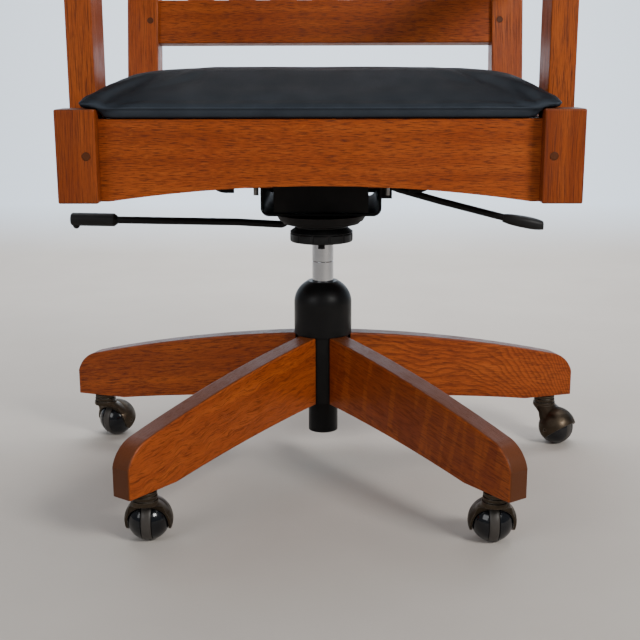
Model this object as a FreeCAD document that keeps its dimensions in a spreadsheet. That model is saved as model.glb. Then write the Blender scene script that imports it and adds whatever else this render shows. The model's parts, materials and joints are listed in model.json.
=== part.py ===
"""Oak swivel office chair: five-leg base on ball casters, gas lift, swivel-tilt seat.

Millimetres. The origin is on the floor under the column, +Z is up and the chair faces -Y.
"""
import FreeCAD, Part
import math
import os

import Sketcher

V = FreeCAD.Vector
AXIS_X = V(1, 0, 0)
AXIS_Y = V(0, 1, 0)
AXIS_Z = V(0, 0, 1)

doc = FreeCAD.newDocument("OfficeChair")
sheet = doc.addObject("Spreadsheet::Sheet", "Sizes")

# Driving dimensions, each one named cell of the sheet
SIZES = {
    # base legs
    "leg_count": 5, "leg_reach": 370, "leg_width": 27, "foot_length": 73,
    "leg_tip_height": 34, "leg_shoulder_inset": 29, "leg_shoulder_rise": 62.3,
    "leg_arch_rise": 12.6, "leg_root_rise": 26.3, "leg_root_height": 89.5, "leg_crown_drop": 23.5,
    "leg_edge_round": 2.5,
    # hub and column
    "hub_radius": 34, "hub_gap": 0.3, "column_tube_radius": 19.6, "column_tube_wall": 2,
    "tube_hang": 45, "tube_recess": 13, "tube_floor_rise": 8, "tube_floor_plate": 3,
    "cover_radius": 38, "cover_wall": 2.5, "cover_straight": 42.5, "cover_dome": 27.3,
    "cover_mouth_radius": 20.3, "bush_flange": 4, "bush_length": 66, "stud_radius": 4,
    "stud_rise": 23, "stud_drop": 26.5, "stud_reach": 82, "dowel_radius": 6.5, "dowel_reach": 66,
    # gas lift
    "lift_radius": 14, "lift_wall": 2.5, "lift_rise": 42, "lift_length": 280,
    "taper_length": 70, "taper_depth": 0.6, "groove_drop": 99, "rod_radius": 5,
    "rod_drop": 43, "piston_length": 8, "bearing_height": 6, "button_radius": 4,
    "button_length": 11, "button_proud": 6, "running_gap": 0.05,
    # casters
    "stem_inset": 35, "stem_radius": 4.8, "stem_length": 34, "socket_radius": 7,
    "socket_flange_radius": 9, "socket_flange": 1.2, "ball_radius": 24.5, "hood_play": 1.1,
    "hood_wall": 2.4, "caster_trail": 21.5, "neck_radius": 14.6, "neck_rise": 27.5,
    "neck_height": 16.7, "axle_radius": 2.5,
    "tread_width": 11.5, "hood_front_reach": 10.5, "hood_lobe_drop": 12.2,
    "hood_visor_reach": 26, "hood_visor_rise": 9.3, "heading_rear": 20, "heading_right_rear": 134.3,
    "heading_right_front": 0, "heading_left_front": 0, "heading_left_rear": 31.3,
    # mechanism
    "housing_half": 71.5, "housing_drop": 22.5, "sheet_metal": 2.5, "housing_height": 35.5,
    "housing_front": 132, "housing_rear": 62, "housing_corner": 10, "socket_tube_radius": 20,
    "socket_tube_drop": 6.5, "tilt_axle_y": 30, "tilt_axle_rise": 18.5, "tilt_axle_radius": 5,
    "rear_step_length": 18, "rear_step_depth": 6.5,
    "plate_half": 56, "plate_wall": 3, "plate_front": 135, "tray_gap": 2.5, "tray_rear": 70,
    "flange_rise": 38.5, "flange_half": 131, "flange_front": 128, "flange_rear": 75,
    "flange_ear": 25.5, "flange_ear_drop": 14.3, "guide_tab_reach": 14.2, "guide_tab_drop": 22.6,
    "bolt_y": 105, "bolt_radius": 4.2, "bolt_drop": 43, "bolt_head": 6, "bolt_head_radius": 8,
    "dish_radius": 55, "dish_step_radius": 48, "dish_depth": 14, "knob_radius": 38,
    "knob_play": 0.3, "knob_neck_length": 6.8, "knob_collar_length": 1.4, "knob_ring_length": 10.2,
    "knob_neck_radius": 31, "knob_flutes": 12, "spring_radius": 16, "spring_wire": 2.2,
    "spring_turns": 4, "spring_length": 46.6, "retainer_radius": 22, "retainer_height": 2.8,
    "mount_x": 79, "mount_front_y": 100, "mount_rear_y": 60, "mount_bolt_radius": 3.2,
    "nut_radius": 6.5, "nut_height": 5.5, "washer_radius": 7.2, "mount_bolt_drop": 17,
    # levers
    "lever_pivot_x": 40, "lever_play": 0.2, "lever_radius": 4.5, "lever_bend_x": 100,
    "lever_bend_drop": 16.2, "lever_knee_x": 58, "lever_turn_x": 150, "lever_turn_drop": 30.4,
    "lever_end_x": 240, "lever_end_drop": 54.2, "paddle_length": 52.5, "paddle_height": 15,
    "paddle_depth": 20, "trunnion_radius": 2.5, "lock_x": 44, "lock_y": 60,
    "lock_drop": 20, "lock_rod_radius": 4.5, "lock_bend_x": 107, "lock_bend_rise": 3.4,
    "lock_end_x": 256.5, "lock_end_rise": 6, "lock_grip_length": 58.5, "lock_grip_radius": 8.2,
    "lock_lug_radius": 4.5, "lock_lug_drop": 7.5,
    # seat frame
    "seat_half": 240, "post_width": 44, "post_front": 240, "post_depth": 44, "post_drop": 10.5,
    "post_height": 101, "rail_front": 224, "rail_thick": 22, "rail_step": 10.9,
    "rail_end_step": 0.7, "rail_arch_rise": 16.8, "rail_arch_end": 9, "side_rail_step": 7.5,
    "rear_post_y": 190, "rear_post_depth": 44, "bearer_width": 50, "bearer_thick": 22,
    "deck_thick": 12, "block_leg": 52, "block_height": 32, "peg_radius": 4.5, "peg_length": 9.5,
    "peg_proud": 0.4, "peg_inset": 11, "peg_rise": 51.1, "wood_edge_round": 2,
    # arms and back
    "support_thick": 31, "support_width": 65, "support_front": 130, "support_step": 3,
    "arm_rise": 219.5, "arm_thick": 24, "arm_lap": 4, "arm_width": 88, "arm_front": 206,
    "arm_corner": 16, "back_bend_rise": 13.5, "back_rake": 11, "back_length": 468,
    "back_post_top_depth": 34, "crest_height": 96, "crest_arch": 12, "crest_top": 455,
    "lower_rail_height": 62, "lower_rail_bottom": 66, "back_rail_thick": 22, "slat_count": 7,
    "slat_width": 38, "slat_thick": 10, "back_rail_set_back": 7,
    # cushion
    "cushion_gap": 0.3, "plinth_play": 6, "plinth_front": 230, "plinth_rear": 186,
    "cushion_overhang": 21.2, "cushion_front": 234, "cushion_rear": 188, "cushion_crown": 41,
    "cushion_softness": 33, "cushion_corner": 25,
}


class Dim:
    """A size that carries both its number and the formula that the document keeps."""

    def __init__(self, text, value):
        self.text = text
        self.value = value

    def join(self, sign, other, value):
        return Dim("(%s %s %s)" % (self.text, sign, text_of(other)), value)

    def __add__(self, other):
        return self.join("+", other, self.value + number(other))

    def __sub__(self, other):
        return self.join("-", other, self.value - number(other))

    def __mul__(self, other):
        return self.join("*", other, self.value * number(other))

    def __truediv__(self, other):
        return self.join("/", other, self.value / number(other))

    def __radd__(self, other):
        return Dim("(%s + %s)" % (text_of(other), self.text), other + self.value)

    def __rsub__(self, other):
        return Dim("(%s - %s)" % (text_of(other), self.text), other - self.value)

    def __rmul__(self, other):
        return Dim("(%s * %s)" % (text_of(other), self.text), other * self.value)

    def __rtruediv__(self, other):
        return Dim("(%s / %s)" % (text_of(other), self.text), other / self.value)

    def __neg__(self):
        return Dim("(-1 * %s)" % self.text, -self.value)


def number(size):
    return size.value if isinstance(size, Dim) else float(size)


def text_of(size):
    return size.text if isinstance(size, Dim) else "(%r)" % float(size)


def trig(name, angle):
    value = getattr(math, name)(math.radians(number(angle)))
    return Dim("%s(%s * 1 deg)" % (name, text_of(angle)), value)


class Sizes:
    """Each cell of the sheet as a Dim."""


size = Sizes()
for row, (alias, amount) in enumerate(SIZES.items(), start=1):
    sheet.set("A%d" % row, alias)
    sheet.set("B%d" % row, str(amount))
    sheet.setAlias("B%d" % row, alias)
    setattr(size, alias, Dim("Sizes." + alias, float(amount)))
doc.recompute()

# Heights that stack up from the floor: caster, leg, column, lift, mechanism, seat
size.stem_reach = size.leg_reach - size.stem_inset
size.hood_radius = size.ball_radius + size.hood_play + size.hood_wall
size.hood_lobe_height = size.ball_radius - size.hood_lobe_drop
size.hood_visor_height = size.ball_radius + size.hood_visor_rise
size.neck_foot = size.ball_radius + size.neck_rise
size.foot_height = size.neck_foot + size.neck_height
size.leg_root_underside = size.foot_height + size.leg_root_rise
size.leg_root_top = size.leg_root_underside + size.leg_root_height
size.stud_low = size.leg_root_underside + size.stud_rise
size.stud_high = size.leg_root_top - size.stud_drop
size.column_tube_bottom = size.leg_root_underside - size.tube_hang
size.tube_floor_height = size.column_tube_bottom + size.tube_floor_rise
cover_bottom = size.leg_root_top + size.hub_gap
cover_shoulder = cover_bottom + size.cover_straight
cover_top = cover_shoulder + size.cover_dome
size.column_tube_top = cover_top - size.tube_recess
size.lift_bottom = size.tube_floor_height + size.lift_rise
size.lift_top = size.lift_bottom + size.lift_length
size.taper_start = size.lift_top - size.taper_length
size.groove_height = size.lift_top - size.groove_drop
size.rod_top = size.lift_top - size.rod_drop
size.housing_floor = size.lift_top - size.housing_drop
size.socket_tube_bottom = size.housing_floor - size.socket_tube_drop
size.tilt_axle_z = size.housing_floor + size.tilt_axle_rise
size.axle_bore_reach = size.housing_half * 1.4
size.tray_height = size.housing_floor + size.sheet_metal + size.tray_gap
size.flange_height = size.housing_floor + size.flange_rise
size.bolt_bottom = size.housing_floor - size.bolt_drop
size.dish_lip_height = size.housing_floor - size.dish_depth
size.knob_neck_top = size.dish_lip_height - size.knob_play
size.knob_flare_top = size.knob_neck_top - size.knob_neck_length
size.knob_ring_top = size.knob_flare_top - size.knob_collar_length
size.knob_bottom = size.knob_ring_top - size.knob_ring_length
size.mount_bolt_bottom = size.flange_height - size.mount_bolt_drop
size.lever_z = size.lift_top + size.button_proud + size.lever_play + size.lever_radius
size.lever_bend_z = size.lever_z - size.lever_bend_drop
size.lever_turn_z = size.lever_z - size.lever_turn_drop
size.lever_end_z = size.lever_z - size.lever_end_drop
size.lock_z = size.housing_floor - size.lock_drop
size.lock_end_z = size.lock_z + size.lock_end_rise
size.post_bottom = size.flange_height - size.post_drop
size.post_top = size.post_bottom + size.post_height
size.rail_top = size.post_top - size.rail_step
size.rail_end_bottom = size.post_bottom + size.rail_end_step
size.side_rail_bottom = size.post_bottom + size.side_rail_step
size.peg_height = size.post_bottom + size.peg_rise
size.support_bottom = size.side_rail_bottom + size.support_step
size.arm_top = size.post_top + size.arm_rise
size.back_bend = size.post_top + size.back_bend_rise
size.arm_inner = size.seat_half - size.arm_lap
size.arm_outer = size.arm_inner + size.arm_width
size.plinth_half = size.seat_half - size.plinth_play
size.cushion_half = size.seat_half + size.cushion_overhang

parts = []


def bind(obj, prop, amount):
    setattr(obj, prop, number(amount))
    if isinstance(amount, Dim):
        obj.setExpression(prop, amount.text)


def place(obj, x=0, y=0, z=0, axis=AXIS_Z, angle=0):
    """Put an object at a point, turned about an axis through that point."""
    turn = FreeCAD.Rotation(axis, number(angle))
    obj.Placement = FreeCAD.Placement(V(number(x), number(y), number(z)), turn)
    for letter, amount in (("x", x), ("y", y), ("z", z)):
        if isinstance(amount, Dim):
            obj.setExpression("Placement.Base." + letter, amount.text)
    if isinstance(angle, Dim):
        obj.setExpression("Placement.Rotation.Angle", angle.text)
    return obj


def block(name, x, y, z, long, deep, high):
    """A box from its lowest corner."""
    obj = doc.addObject("Part::Box", name)
    bind(obj, "Length", long)
    bind(obj, "Width", deep)
    bind(obj, "Height", high)
    return place(obj, x, y, z)


def rod(name, radius, length, x=0, y=0, z=0, axis=AXIS_Z, angle=0):
    """A round bar that starts at a point; a quarter turn about Y lays it along +X."""
    obj = doc.addObject("Part::Cylinder", name)
    bind(obj, "Radius", radius)
    bind(obj, "Height", length)
    return place(obj, x, y, z, axis, angle)


def hexagon(name, radius, height, x, y, z):
    obj = doc.addObject("Part::Prism", name)
    obj.Polygon = 6
    bind(obj, "Circumradius", radius)
    bind(obj, "Height", height)
    return place(obj, x, y, z)


def ball(name, radius, x, y, z):
    obj = doc.addObject("Part::Sphere", name)
    bind(obj, "Radius", radius)
    return place(obj, x, y, z)


def cut(name, base, *tools):
    obj = doc.addObject("Part::Cut", name)
    obj.Base = base
    obj.Tool = tools[0] if len(tools) == 1 else fuse(name + "_tools", *tools)
    return obj


def fuse(name, *shapes):
    obj = doc.addObject("Part::MultiFuse", name)
    obj.Shapes = list(shapes)
    return obj


def group(name, *shapes):
    """Separate solids that share one node."""
    obj = doc.addObject("Part::Compound", name)
    obj.Links = list(shapes)
    return obj


def part(node, obj):
    """Name a finished sub-part; the name is also its file's."""
    obj.Label = node
    parts.append(obj)
    return obj


def body_sketch(name, plane):
    body = doc.addObject("PartDesign::Body", name)
    sketch = body.newObject("Sketcher::SketchObject", name + "_sketch")
    origin_plane = [f for f in body.Origin.OriginFeatures if f.Role == plane][0]
    sketch.AttachmentSupport = [(origin_plane, "")]
    sketch.MapMode = "FlatFace"
    return body, sketch


def fix_point(sketch, geometry, position, point):
    """Tie one sketch point to its two sizes."""
    for kind, amount in zip(("DistanceX", "DistanceY"), point):
        rule = Sketcher.Constraint(kind, -1, 1, geometry, position, number(amount))
        index = sketch.addConstraint(rule)
        if isinstance(amount, Dim):
            sketch.setExpression("Constraints[%d]" % index, amount.text)


def draw_outline(sketch, start, path):
    """Draw a closed outline: each step is (end,) for a line, (middle, end) for an arc, or
    (middle, end, "flowing") for an arc that runs on into the next one without a corner."""
    corners = [start] + [step[min(1, len(step) - 1)] for step in path]
    flat = [V(number(u), number(v), 0) for u, v in corners]
    ends = []
    for index, step in enumerate(path):
        a, b = flat[index], flat[index + 1]
        if len(step) == 1:
            curve = Part.LineSegment(a, b)
        else:
            middle = V(number(step[0][0]), number(step[0][1]), 0)
            curve = Part.Arc(a, middle, b)
        geometry = sketch.addGeometry(curve, False)
        first = 1 if (sketch.getPoint(geometry, 1) - a).Length < 1e-6 else 2
        ends.append((geometry, first, 3 - first))
        if len(step) == 2:
            mark = sketch.addGeometry(Part.Point(middle), True)
            fix_point(sketch, mark, 1, step[0])
            sketch.addConstraint(Sketcher.Constraint("PointOnObject", mark, 1, geometry))
    for index, (geometry, first, last) in enumerate(ends):
        following = ends[(index + 1) % len(ends)]
        joint = "Tangent" if len(path[index]) == 3 else "Coincident"
        rule = Sketcher.Constraint(joint, geometry, last, following[0], following[1])
        sketch.addConstraint(rule)
        fix_point(sketch, geometry, first, corners[index])


def padded(name, plane, start, path, length, symmetric=False, reverse=False):
    """A PartDesign body: one outline, padded."""
    body, sketch = body_sketch(name, plane)
    draw_outline(sketch, start, path)
    pad = body.newObject("PartDesign::Pad", name + "_pad")
    pad.Profile = sketch
    pad.SideType = "Symmetric" if symmetric else "One side"
    pad.Reversed = reverse
    bind(pad, "Length", length)
    doc.recompute()
    return body


def turned(name, start, path):
    """A PartDesign body: one outline in radius and height, turned round the Z axis."""
    body, sketch = body_sketch(name, "XZ_Plane")
    draw_outline(sketch, start, path)
    turn = body.newObject("PartDesign::Revolution", name + "_turn")
    turn.Profile = sketch
    turn.ReferenceAxis = (sketch, ["V_Axis"])
    turn.Angle = 360
    doc.recompute()
    return body


def ease(body, radius, wanted):
    """Round the edges of a body that the test picks."""
    base = body.Tip
    names = ["Edge%d" % (i + 1) for i, edge in enumerate(base.Shape.Edges) if wanted(edge)]
    rounded = body.newObject("PartDesign::Fillet", body.Name + "_eased")
    rounded.Base = (base, names)
    bind(rounded, "Radius", radius)
    doc.recompute()
    return body


def eased_block(name, x, y, z, long, deep, high, radius):
    """A board with its long edges eased, from its lowest corner."""
    body = padded(name, "XY_Plane", (0, 0), [((long, 0),), ((long, deep),), ((0, deep),), ((0, 0),)],
                  high)
    ease(body, radius, lambda edge: edge.Length > 1)
    return place(body, x, y, z)


def rectangle(x0, z0, x1, z1):
    """Outline steps round a rectangle that starts at (x0, z0)."""
    return (x0, z0), [((x1, z0),), ((x1, z1),), ((x0, z1),), ((x0, z0),)]


def ring(name, inner, outer, bottom, top):
    return turned(name, *rectangle(inner, bottom, outer, top))


# Base legs: flat foot over the caster, arched underside, crowned top

def leg_blank(name):
    root = size.hub_radius + size.hub_gap
    kink = size.leg_reach - size.foot_length
    middle = (root + size.leg_reach) / 2
    tip_top = size.foot_height + size.leg_tip_height
    shoulder = (size.leg_reach - size.leg_shoulder_inset, size.foot_height + size.leg_shoulder_rise)
    tip_round = (size.leg_reach - size.leg_shoulder_inset * 0.362,
                 tip_top + (size.leg_shoulder_rise - size.leg_tip_height) * 0.629)
    outline = [
        ((size.leg_reach, size.foot_height),),
        ((size.leg_reach, tip_top),),
        (tip_round, shoulder, "flowing"),
        ((middle, size.leg_root_top - size.leg_crown_drop), (root, size.leg_root_top)),
        ((root, size.leg_root_underside),),
        ((middle, size.foot_height + size.leg_arch_rise), (kink, size.foot_height)),
    ]
    leg = padded(name, "YZ_Plane", (kink, size.foot_height), outline, size.leg_width, symmetric=True)
    half = number(size.leg_width) / 2

    def upper_edge(edge):
        box = edge.BoundBox
        on_side = box.XLength < 0.01 and abs(abs(box.Center.x) - half) < 0.01
        return on_side and box.ZMax > number(tip_top) - 0.5 and box.YMax > number(root) + 1

    return ease(leg, size.leg_edge_round, upper_edge)


def leg_turn(index):
    return -360.0 * index / size.leg_count


def leg_studs(name, radius, start, length):
    """The two level studs of a leg, one above the other, along +Y."""
    return [rod("%s_%s" % (name, level), radius, length, 0, start, height, AXIS_X, -90)
            for level, height in (("low", size.stud_low), ("high", size.stud_high))]


dowel_bottom = size.leg_root_underside + 2
dowel_length = size.stud_high + 10 - dowel_bottom
stud_start = size.column_tube_radius + 4
leg_stud_sets = []
for index in range(int(SIZES["leg_count"])):
    name = "leg_%d" % (index + 1)
    bore = size.stud_radius + size.running_gap
    tools = leg_studs(name + "_bore", bore, size.hub_radius, size.stud_reach - size.hub_radius + 1)
    tools.append(rod(name + "_dowel_bore", size.dowel_radius + size.running_gap,
                     dowel_bottom + dowel_length + 1 - size.foot_height, 0, size.dowel_reach,
                     size.foot_height))
    tools.append(rod(name + "_stem_bore", size.socket_radius + size.running_gap,
                     size.stem_length + 5, 0, size.stem_reach, size.foot_height))
    leg = cut(name, leg_blank(name + "_blank"), *tools)
    part(name, place(leg, angle=leg_turn(index)))

    studs = leg_studs(name + "_stud", size.stud_radius, stud_start, size.stud_reach - stud_start)
    dowel_blank = rod(name + "_dowel_blank", size.dowel_radius, dowel_length, 0, size.dowel_reach,
                      dowel_bottom)
    dowel_bores = leg_studs(name + "_dowel_thread", bore, size.hub_radius, size.stud_reach)
    dowel = cut(name + "_dowel", dowel_blank, *dowel_bores)
    leg_stud_sets.append(place(group(name + "_studs", dowel, *studs), angle=leg_turn(index)))
part("leg_fasteners", group("leg_fasteners", *leg_stud_sets))

# Hub: one ring that the legs stand against, tapped for their studs
hub_bores = []
for index in range(int(SIZES["leg_count"])):
    pair = leg_studs("hub_bore_%d" % index, size.stud_radius + size.running_gap, stud_start - 1,
                     size.hub_radius)
    hub_bores.append(place(group("hub_bores_%d" % index, *pair), angle=leg_turn(index)))
hub_ring = ring("hub_ring", size.column_tube_radius + size.running_gap, size.hub_radius,
                size.leg_root_underside, size.leg_root_top)
part("hub", cut("hub", hub_ring, *hub_bores))

# Column tube: seats in the hub and carries the thrust bearing on its floor plate
tube_inner = size.column_tube_radius - size.column_tube_wall
tube_shell = ring("tube_shell", tube_inner, size.column_tube_radius, size.column_tube_bottom,
                  size.column_tube_top)
tube_floor = ring("tube_floor", size.rod_radius, tube_inner + 1,
                  size.tube_floor_height, size.tube_floor_height + size.tube_floor_plate)
part("column_tube", fuse("column_tube", tube_shell, tube_floor))

# Hub cover: straight skirt on the leg tops under a domed cap
cover_inner = size.cover_radius - size.cover_wall
cover_outline = [
    ((size.cover_radius, cover_shoulder),),
    ((size.cover_radius - 4.6, cover_shoulder + size.cover_dome * 0.56),
     (size.cover_mouth_radius, cover_top)),
    ((size.cover_mouth_radius, cover_top - size.cover_wall),),
    ((cover_inner - 4.9, cover_shoulder + size.cover_dome * 0.52), (cover_inner, cover_shoulder)),
    ((cover_inner, cover_bottom),),
    ((size.cover_radius, cover_bottom),),
]
part("hub_cover", turned("hub_cover", (size.cover_radius, cover_bottom), cover_outline))

# Guide bush: sleeve in the tube with a collar that fills the cover's mouth
bush_inner = size.lift_radius + size.running_gap
bush_sleeve = tube_inner - size.running_gap
bush_outline = [
    ((bush_sleeve, size.column_tube_top - size.bush_length),),
    ((bush_sleeve, cover_top - size.bush_flange),),
    ((size.cover_mouth_radius - 0.3, cover_top - size.bush_flange),),
    ((size.cover_mouth_radius - 0.3, cover_top + 0.6),),
    ((bush_inner, cover_top + 0.6),),
    ((bush_inner, size.column_tube_top - size.bush_length),),
]
part("guide_bush", turned("guide_bush", (bush_inner, size.column_tube_top - size.bush_length),
                          bush_outline))

# Casters: plain socket in the leg, hood with stem and axle, split ball with a tread ring
HEADINGS = (size.heading_rear, size.heading_right_rear, size.heading_right_front,
            size.heading_left_front, size.heading_left_rear)


def circle(name, radius, y, z):
    obj = doc.addObject("Part::Circle", name)
    bind(obj, "Radius", radius)
    return place(obj, 0, y, z)


def caster_hood(name):
    """Hood in its own frame: stem on the Z axis, ball centre behind it along +Y."""
    centre = size.caster_trail
    high = size.ball_radius
    shell = ball(name + "_outer", size.hood_radius, 0, centre, high)
    web = doc.addObject("Part::Loft", name + "_web")
    web.Sections = [circle(name + "_web_low", size.hood_radius - 2.6, centre, high + 11),
                    circle(name + "_web_high", size.neck_radius + 1, 0, size.neck_foot + 2)]
    web.Solid = True
    web.Ruled = True
    front = centre - size.hood_front_reach
    lobe = (centre - 1, size.hood_lobe_height)
    visor = (centre + size.hood_visor_reach, size.hood_visor_height)
    side_outline = [
        (visor,),
        ((centre + size.hood_radius + 6, size.hood_visor_height + 6.5),),
        ((centre + size.hood_radius + 6, size.neck_foot + 20),),
        ((-1 * size.neck_radius - 6, size.neck_foot + 20),),
        ((-1 * size.neck_radius - 6, size.neck_foot),),
        ((-1 * size.neck_radius * 0.3, size.neck_foot - 1.5),),
        ((front - 7, high + 21.5),),
        ((front - 2.5, high + 11.5),),
        ((front, high - 0.5),),
        ((front + 4, size.hood_lobe_height + 3.2),),
        (lobe,),
    ]
    profile = padded(name + "_profile", "YZ_Plane", lobe, side_outline, 80, symmetric=True)
    cover = doc.addObject("Part::Common", name + "_cover")
    cover.Base = fuse(name + "_body", shell, web)
    cover.Tool = profile
    top = size.foot_height - size.socket_flange - 0.3
    radius = size.neck_radius
    band = (top - size.neck_foot) / 10
    steps = [
        ((radius + 1, size.neck_foot),),
        ((radius + 1.2, size.neck_foot + band),),
        ((radius + 1, size.neck_foot + band * 3.4),),
        ((radius - 0.8, size.neck_foot + band * 3.8),),
        ((radius - 0.8, size.neck_foot + band * 4.2),),
        ((radius, size.neck_foot + band * 4.6),),
        ((radius, size.neck_foot + band * 6.6),),
        ((radius - 1.6, size.neck_foot + band * 7),),
        ((radius - 1.6, size.neck_foot + band * 7.6),),
        ((radius - 0.4, size.neck_foot + band * 8),),
        ((radius - 0.4, top),),
        ((0, top),),
        ((0, size.neck_foot),),
    ]
    neck = turned(name + "_neck", (0, size.neck_foot), steps)
    stem = rod(name + "_stem", size.stem_radius, size.stem_length, 0, 0, top - 1)
    whole = fuse(name + "_whole", cover, neck, stem)
    room = ball(name + "_room", size.hood_radius - size.hood_wall, 0, centre, high)
    axle_bore = rod(name + "_axle_bore", size.axle_radius, 80, -40, centre, high, AXIS_Y, 90)
    return cut(name + "_shell", whole, room, axle_bore)


def chord(radius, offset):
    """Half width of a circle at an offset from its centre."""
    text = "sqrt(%s * %s - %s * %s)" % (text_of(radius), text_of(radius), text_of(offset), text_of(offset))
    return Dim(text, math.sqrt(number(radius) ** 2 - number(offset) ** 2))


def caster_ball(name):
    """Two half balls with a tread ring between them, bored for the axle."""
    centre = size.caster_trail
    high = size.ball_radius
    half_tread = size.tread_width / 2
    bore = size.axle_radius + size.running_gap
    rim = chord(size.ball_radius, half_tread)
    pole = chord(size.ball_radius, bore)
    belly = size.ball_radius * 0.7
    half_steps = [
        ((rim, half_tread),),
        ((chord(size.ball_radius, belly), belly), (bore, pole)),
        ((bore, half_tread),),
    ]
    tread_steps = [
        ((rim, -1 * half_tread),),
        ((size.ball_radius, 0), (rim, half_tread)),
        ((bore, half_tread),),
        ((bore, -1 * half_tread),),
    ]
    pieces = []
    for side, turn in (("right", 90), ("left", -90)):
        piece = turned("%s_%s" % (name, side), (bore, half_tread), half_steps)
        pieces.append(place(piece, 0, centre, high, AXIS_Y, turn))
    tread = turned(name + "_tread", (bore, -1 * half_tread), tread_steps)
    pieces.append(place(tread, 0, centre, high, AXIS_Y, 90))
    return group(name + "_pieces", *pieces)


socket_list = []
for index, heading in enumerate(HEADINGS):
    number_name = "caster_%d" % (index + 1)
    angle = leg_turn(index)
    stem_x = -1 * size.stem_reach * trig("sin", angle)
    stem_y = size.stem_reach * trig("cos", angle)
    hood = caster_hood(number_name)
    axle = rod(number_name + "_axle", size.axle_radius,
               2 * (size.hood_radius - 0.5), -1 * (size.hood_radius - 0.5), size.caster_trail,
               size.ball_radius, AXIS_Y, 90)
    node = part(number_name + "_hood", group(number_name + "_hood", hood, axle))
    place(node, stem_x, stem_y, 0, AXIS_Z, -1 * heading)
    node = part(number_name + "_ball", caster_ball(number_name + "_wheel"))
    place(node, stem_x, stem_y, 0, AXIS_Z, -1 * heading)
    sleeve_bottom = size.foot_height - size.socket_flange
    sleeve = ring(number_name + "_sleeve", size.stem_radius + size.running_gap,
                  size.socket_radius, sleeve_bottom, size.foot_height + size.stem_length)
    flange = ring(number_name + "_flange", size.stem_radius + size.running_gap,
                  size.socket_flange_radius, sleeve_bottom, size.foot_height)
    socket = fuse(number_name + "_socket", sleeve, flange)
    socket_list.append(place(socket, stem_x, stem_y, 0))
part("caster_sockets", group("caster_sockets", *socket_list))

# Gas lift: bearing on the tube floor, piston rod, cylinder and its release button
bearing_bottom = size.tube_floor_height + size.tube_floor_plate
bearing_top = bearing_bottom + size.bearing_height
part("thrust_bearing", ring("thrust_bearing", size.rod_radius + size.running_gap, tube_inner - 2,
                            bearing_bottom, bearing_top))
rod_low = size.rod_radius - 1
rod_bottom = size.column_tube_bottom + 2
clip_top = size.tube_floor_height - 0.3
piston_radius = size.lift_radius - size.lift_wall - size.running_gap
rod_outline = [
    ((rod_low, rod_bottom),),
    ((rod_low, clip_top - 2.5),),
    ((rod_low + 4, clip_top - 2.5),),
    ((rod_low + 4, clip_top),),
    ((rod_low, clip_top),),
    ((rod_low, bearing_top + 0.1),),
    ((rod_low + 6, bearing_top + 0.1),),
    ((rod_low + 6, bearing_top + 3),),
    ((size.rod_radius, bearing_top + 3),),
    ((size.rod_radius, size.rod_top - size.piston_length),),
    ((piston_radius, size.rod_top - size.piston_length),),
    ((piston_radius, size.rod_top),),
    ((0, size.rod_top),),
    ((0, rod_bottom),),
]
part("piston_rod", turned("piston_rod", (0, rod_bottom), rod_outline))

lift_bore = size.lift_radius - size.lift_wall
lift_floor = size.lift_bottom + 4
lift_cap = size.lift_top - size.button_length - 5
lift_tip = size.lift_radius - size.taper_depth
lift_outline = [
    ((size.lift_radius, size.lift_bottom),),
    ((size.lift_radius, size.groove_height),),
    ((size.lift_radius - 0.5, size.groove_height + 0.5),),
    ((size.lift_radius, size.groove_height + 1),),
    ((size.lift_radius, size.taper_start),),
    ((lift_tip, size.lift_top),),
    ((size.button_radius + size.running_gap, size.lift_top),),
    ((size.button_radius + size.running_gap, lift_cap + 5),),
    ((1, lift_cap + 5),),
    ((1, lift_cap),),
    ((lift_bore, lift_cap),),
    ((lift_bore, lift_floor),),
    ((size.rod_radius + size.running_gap, lift_floor),),
    ((size.rod_radius + size.running_gap, size.lift_bottom),),
]
part("gas_cylinder", turned("gas_cylinder", (size.rod_radius + size.running_gap, size.lift_bottom),
                            lift_outline))
part("release_button", rod("release_button", size.button_radius, size.button_length, 0, 0,
                           size.lift_top + size.button_proud - size.button_length))

# Mechanism housing: upright channel with the tapered socket, fixed to the lift
housing_top = size.housing_floor + size.housing_height
floor_top = size.housing_floor + size.sheet_metal
corner = size.housing_corner
bend = corner * (1 - math.sqrt(0.5))
inner_bend = size.sheet_metal + (corner - size.sheet_metal) * (1 - math.sqrt(0.5))
half = size.housing_half
wall_face = half - size.sheet_metal
channel_outline = [
    ((half - corner, size.housing_floor),),
    ((half - bend, size.housing_floor + bend), (half, size.housing_floor + corner)),
    ((half, housing_top),),
    ((wall_face, housing_top),),
    ((wall_face, size.housing_floor + corner),),
    ((half - inner_bend, size.housing_floor + inner_bend), (half - corner, floor_top)),
    ((corner - half, floor_top),),
    ((inner_bend - half, size.housing_floor + inner_bend), (-1 * wall_face, size.housing_floor + corner)),
    ((-1 * wall_face, housing_top),),
    ((-1 * half, housing_top),),
    ((-1 * half, size.housing_floor + corner),),
    ((bend - half, size.housing_floor + bend), (corner - half, size.housing_floor)),
]
housing_length = size.housing_front + size.housing_rear
channel = padded("housing_channel", "XZ_Plane", (corner - half, size.housing_floor), channel_outline,
                 housing_length)
place(channel, 0, size.housing_rear, 0)
taper_rate = size.taper_depth / (size.lift_top - size.taper_start)
socket_low = size.lift_radius + size.running_gap \
    - (size.socket_tube_bottom - size.taper_start) * taper_rate
socket_high = lift_tip + size.running_gap
socket_tube = turned("socket_tube", (socket_low, size.socket_tube_bottom), [
    ((size.socket_tube_radius, size.socket_tube_bottom),),
    ((size.socket_tube_radius, size.lift_top),),
    ((socket_high, size.lift_top),),
    ((socket_low, size.socket_tube_bottom),),
])
ear_height = size.lever_z + 6 - floor_top
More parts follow.
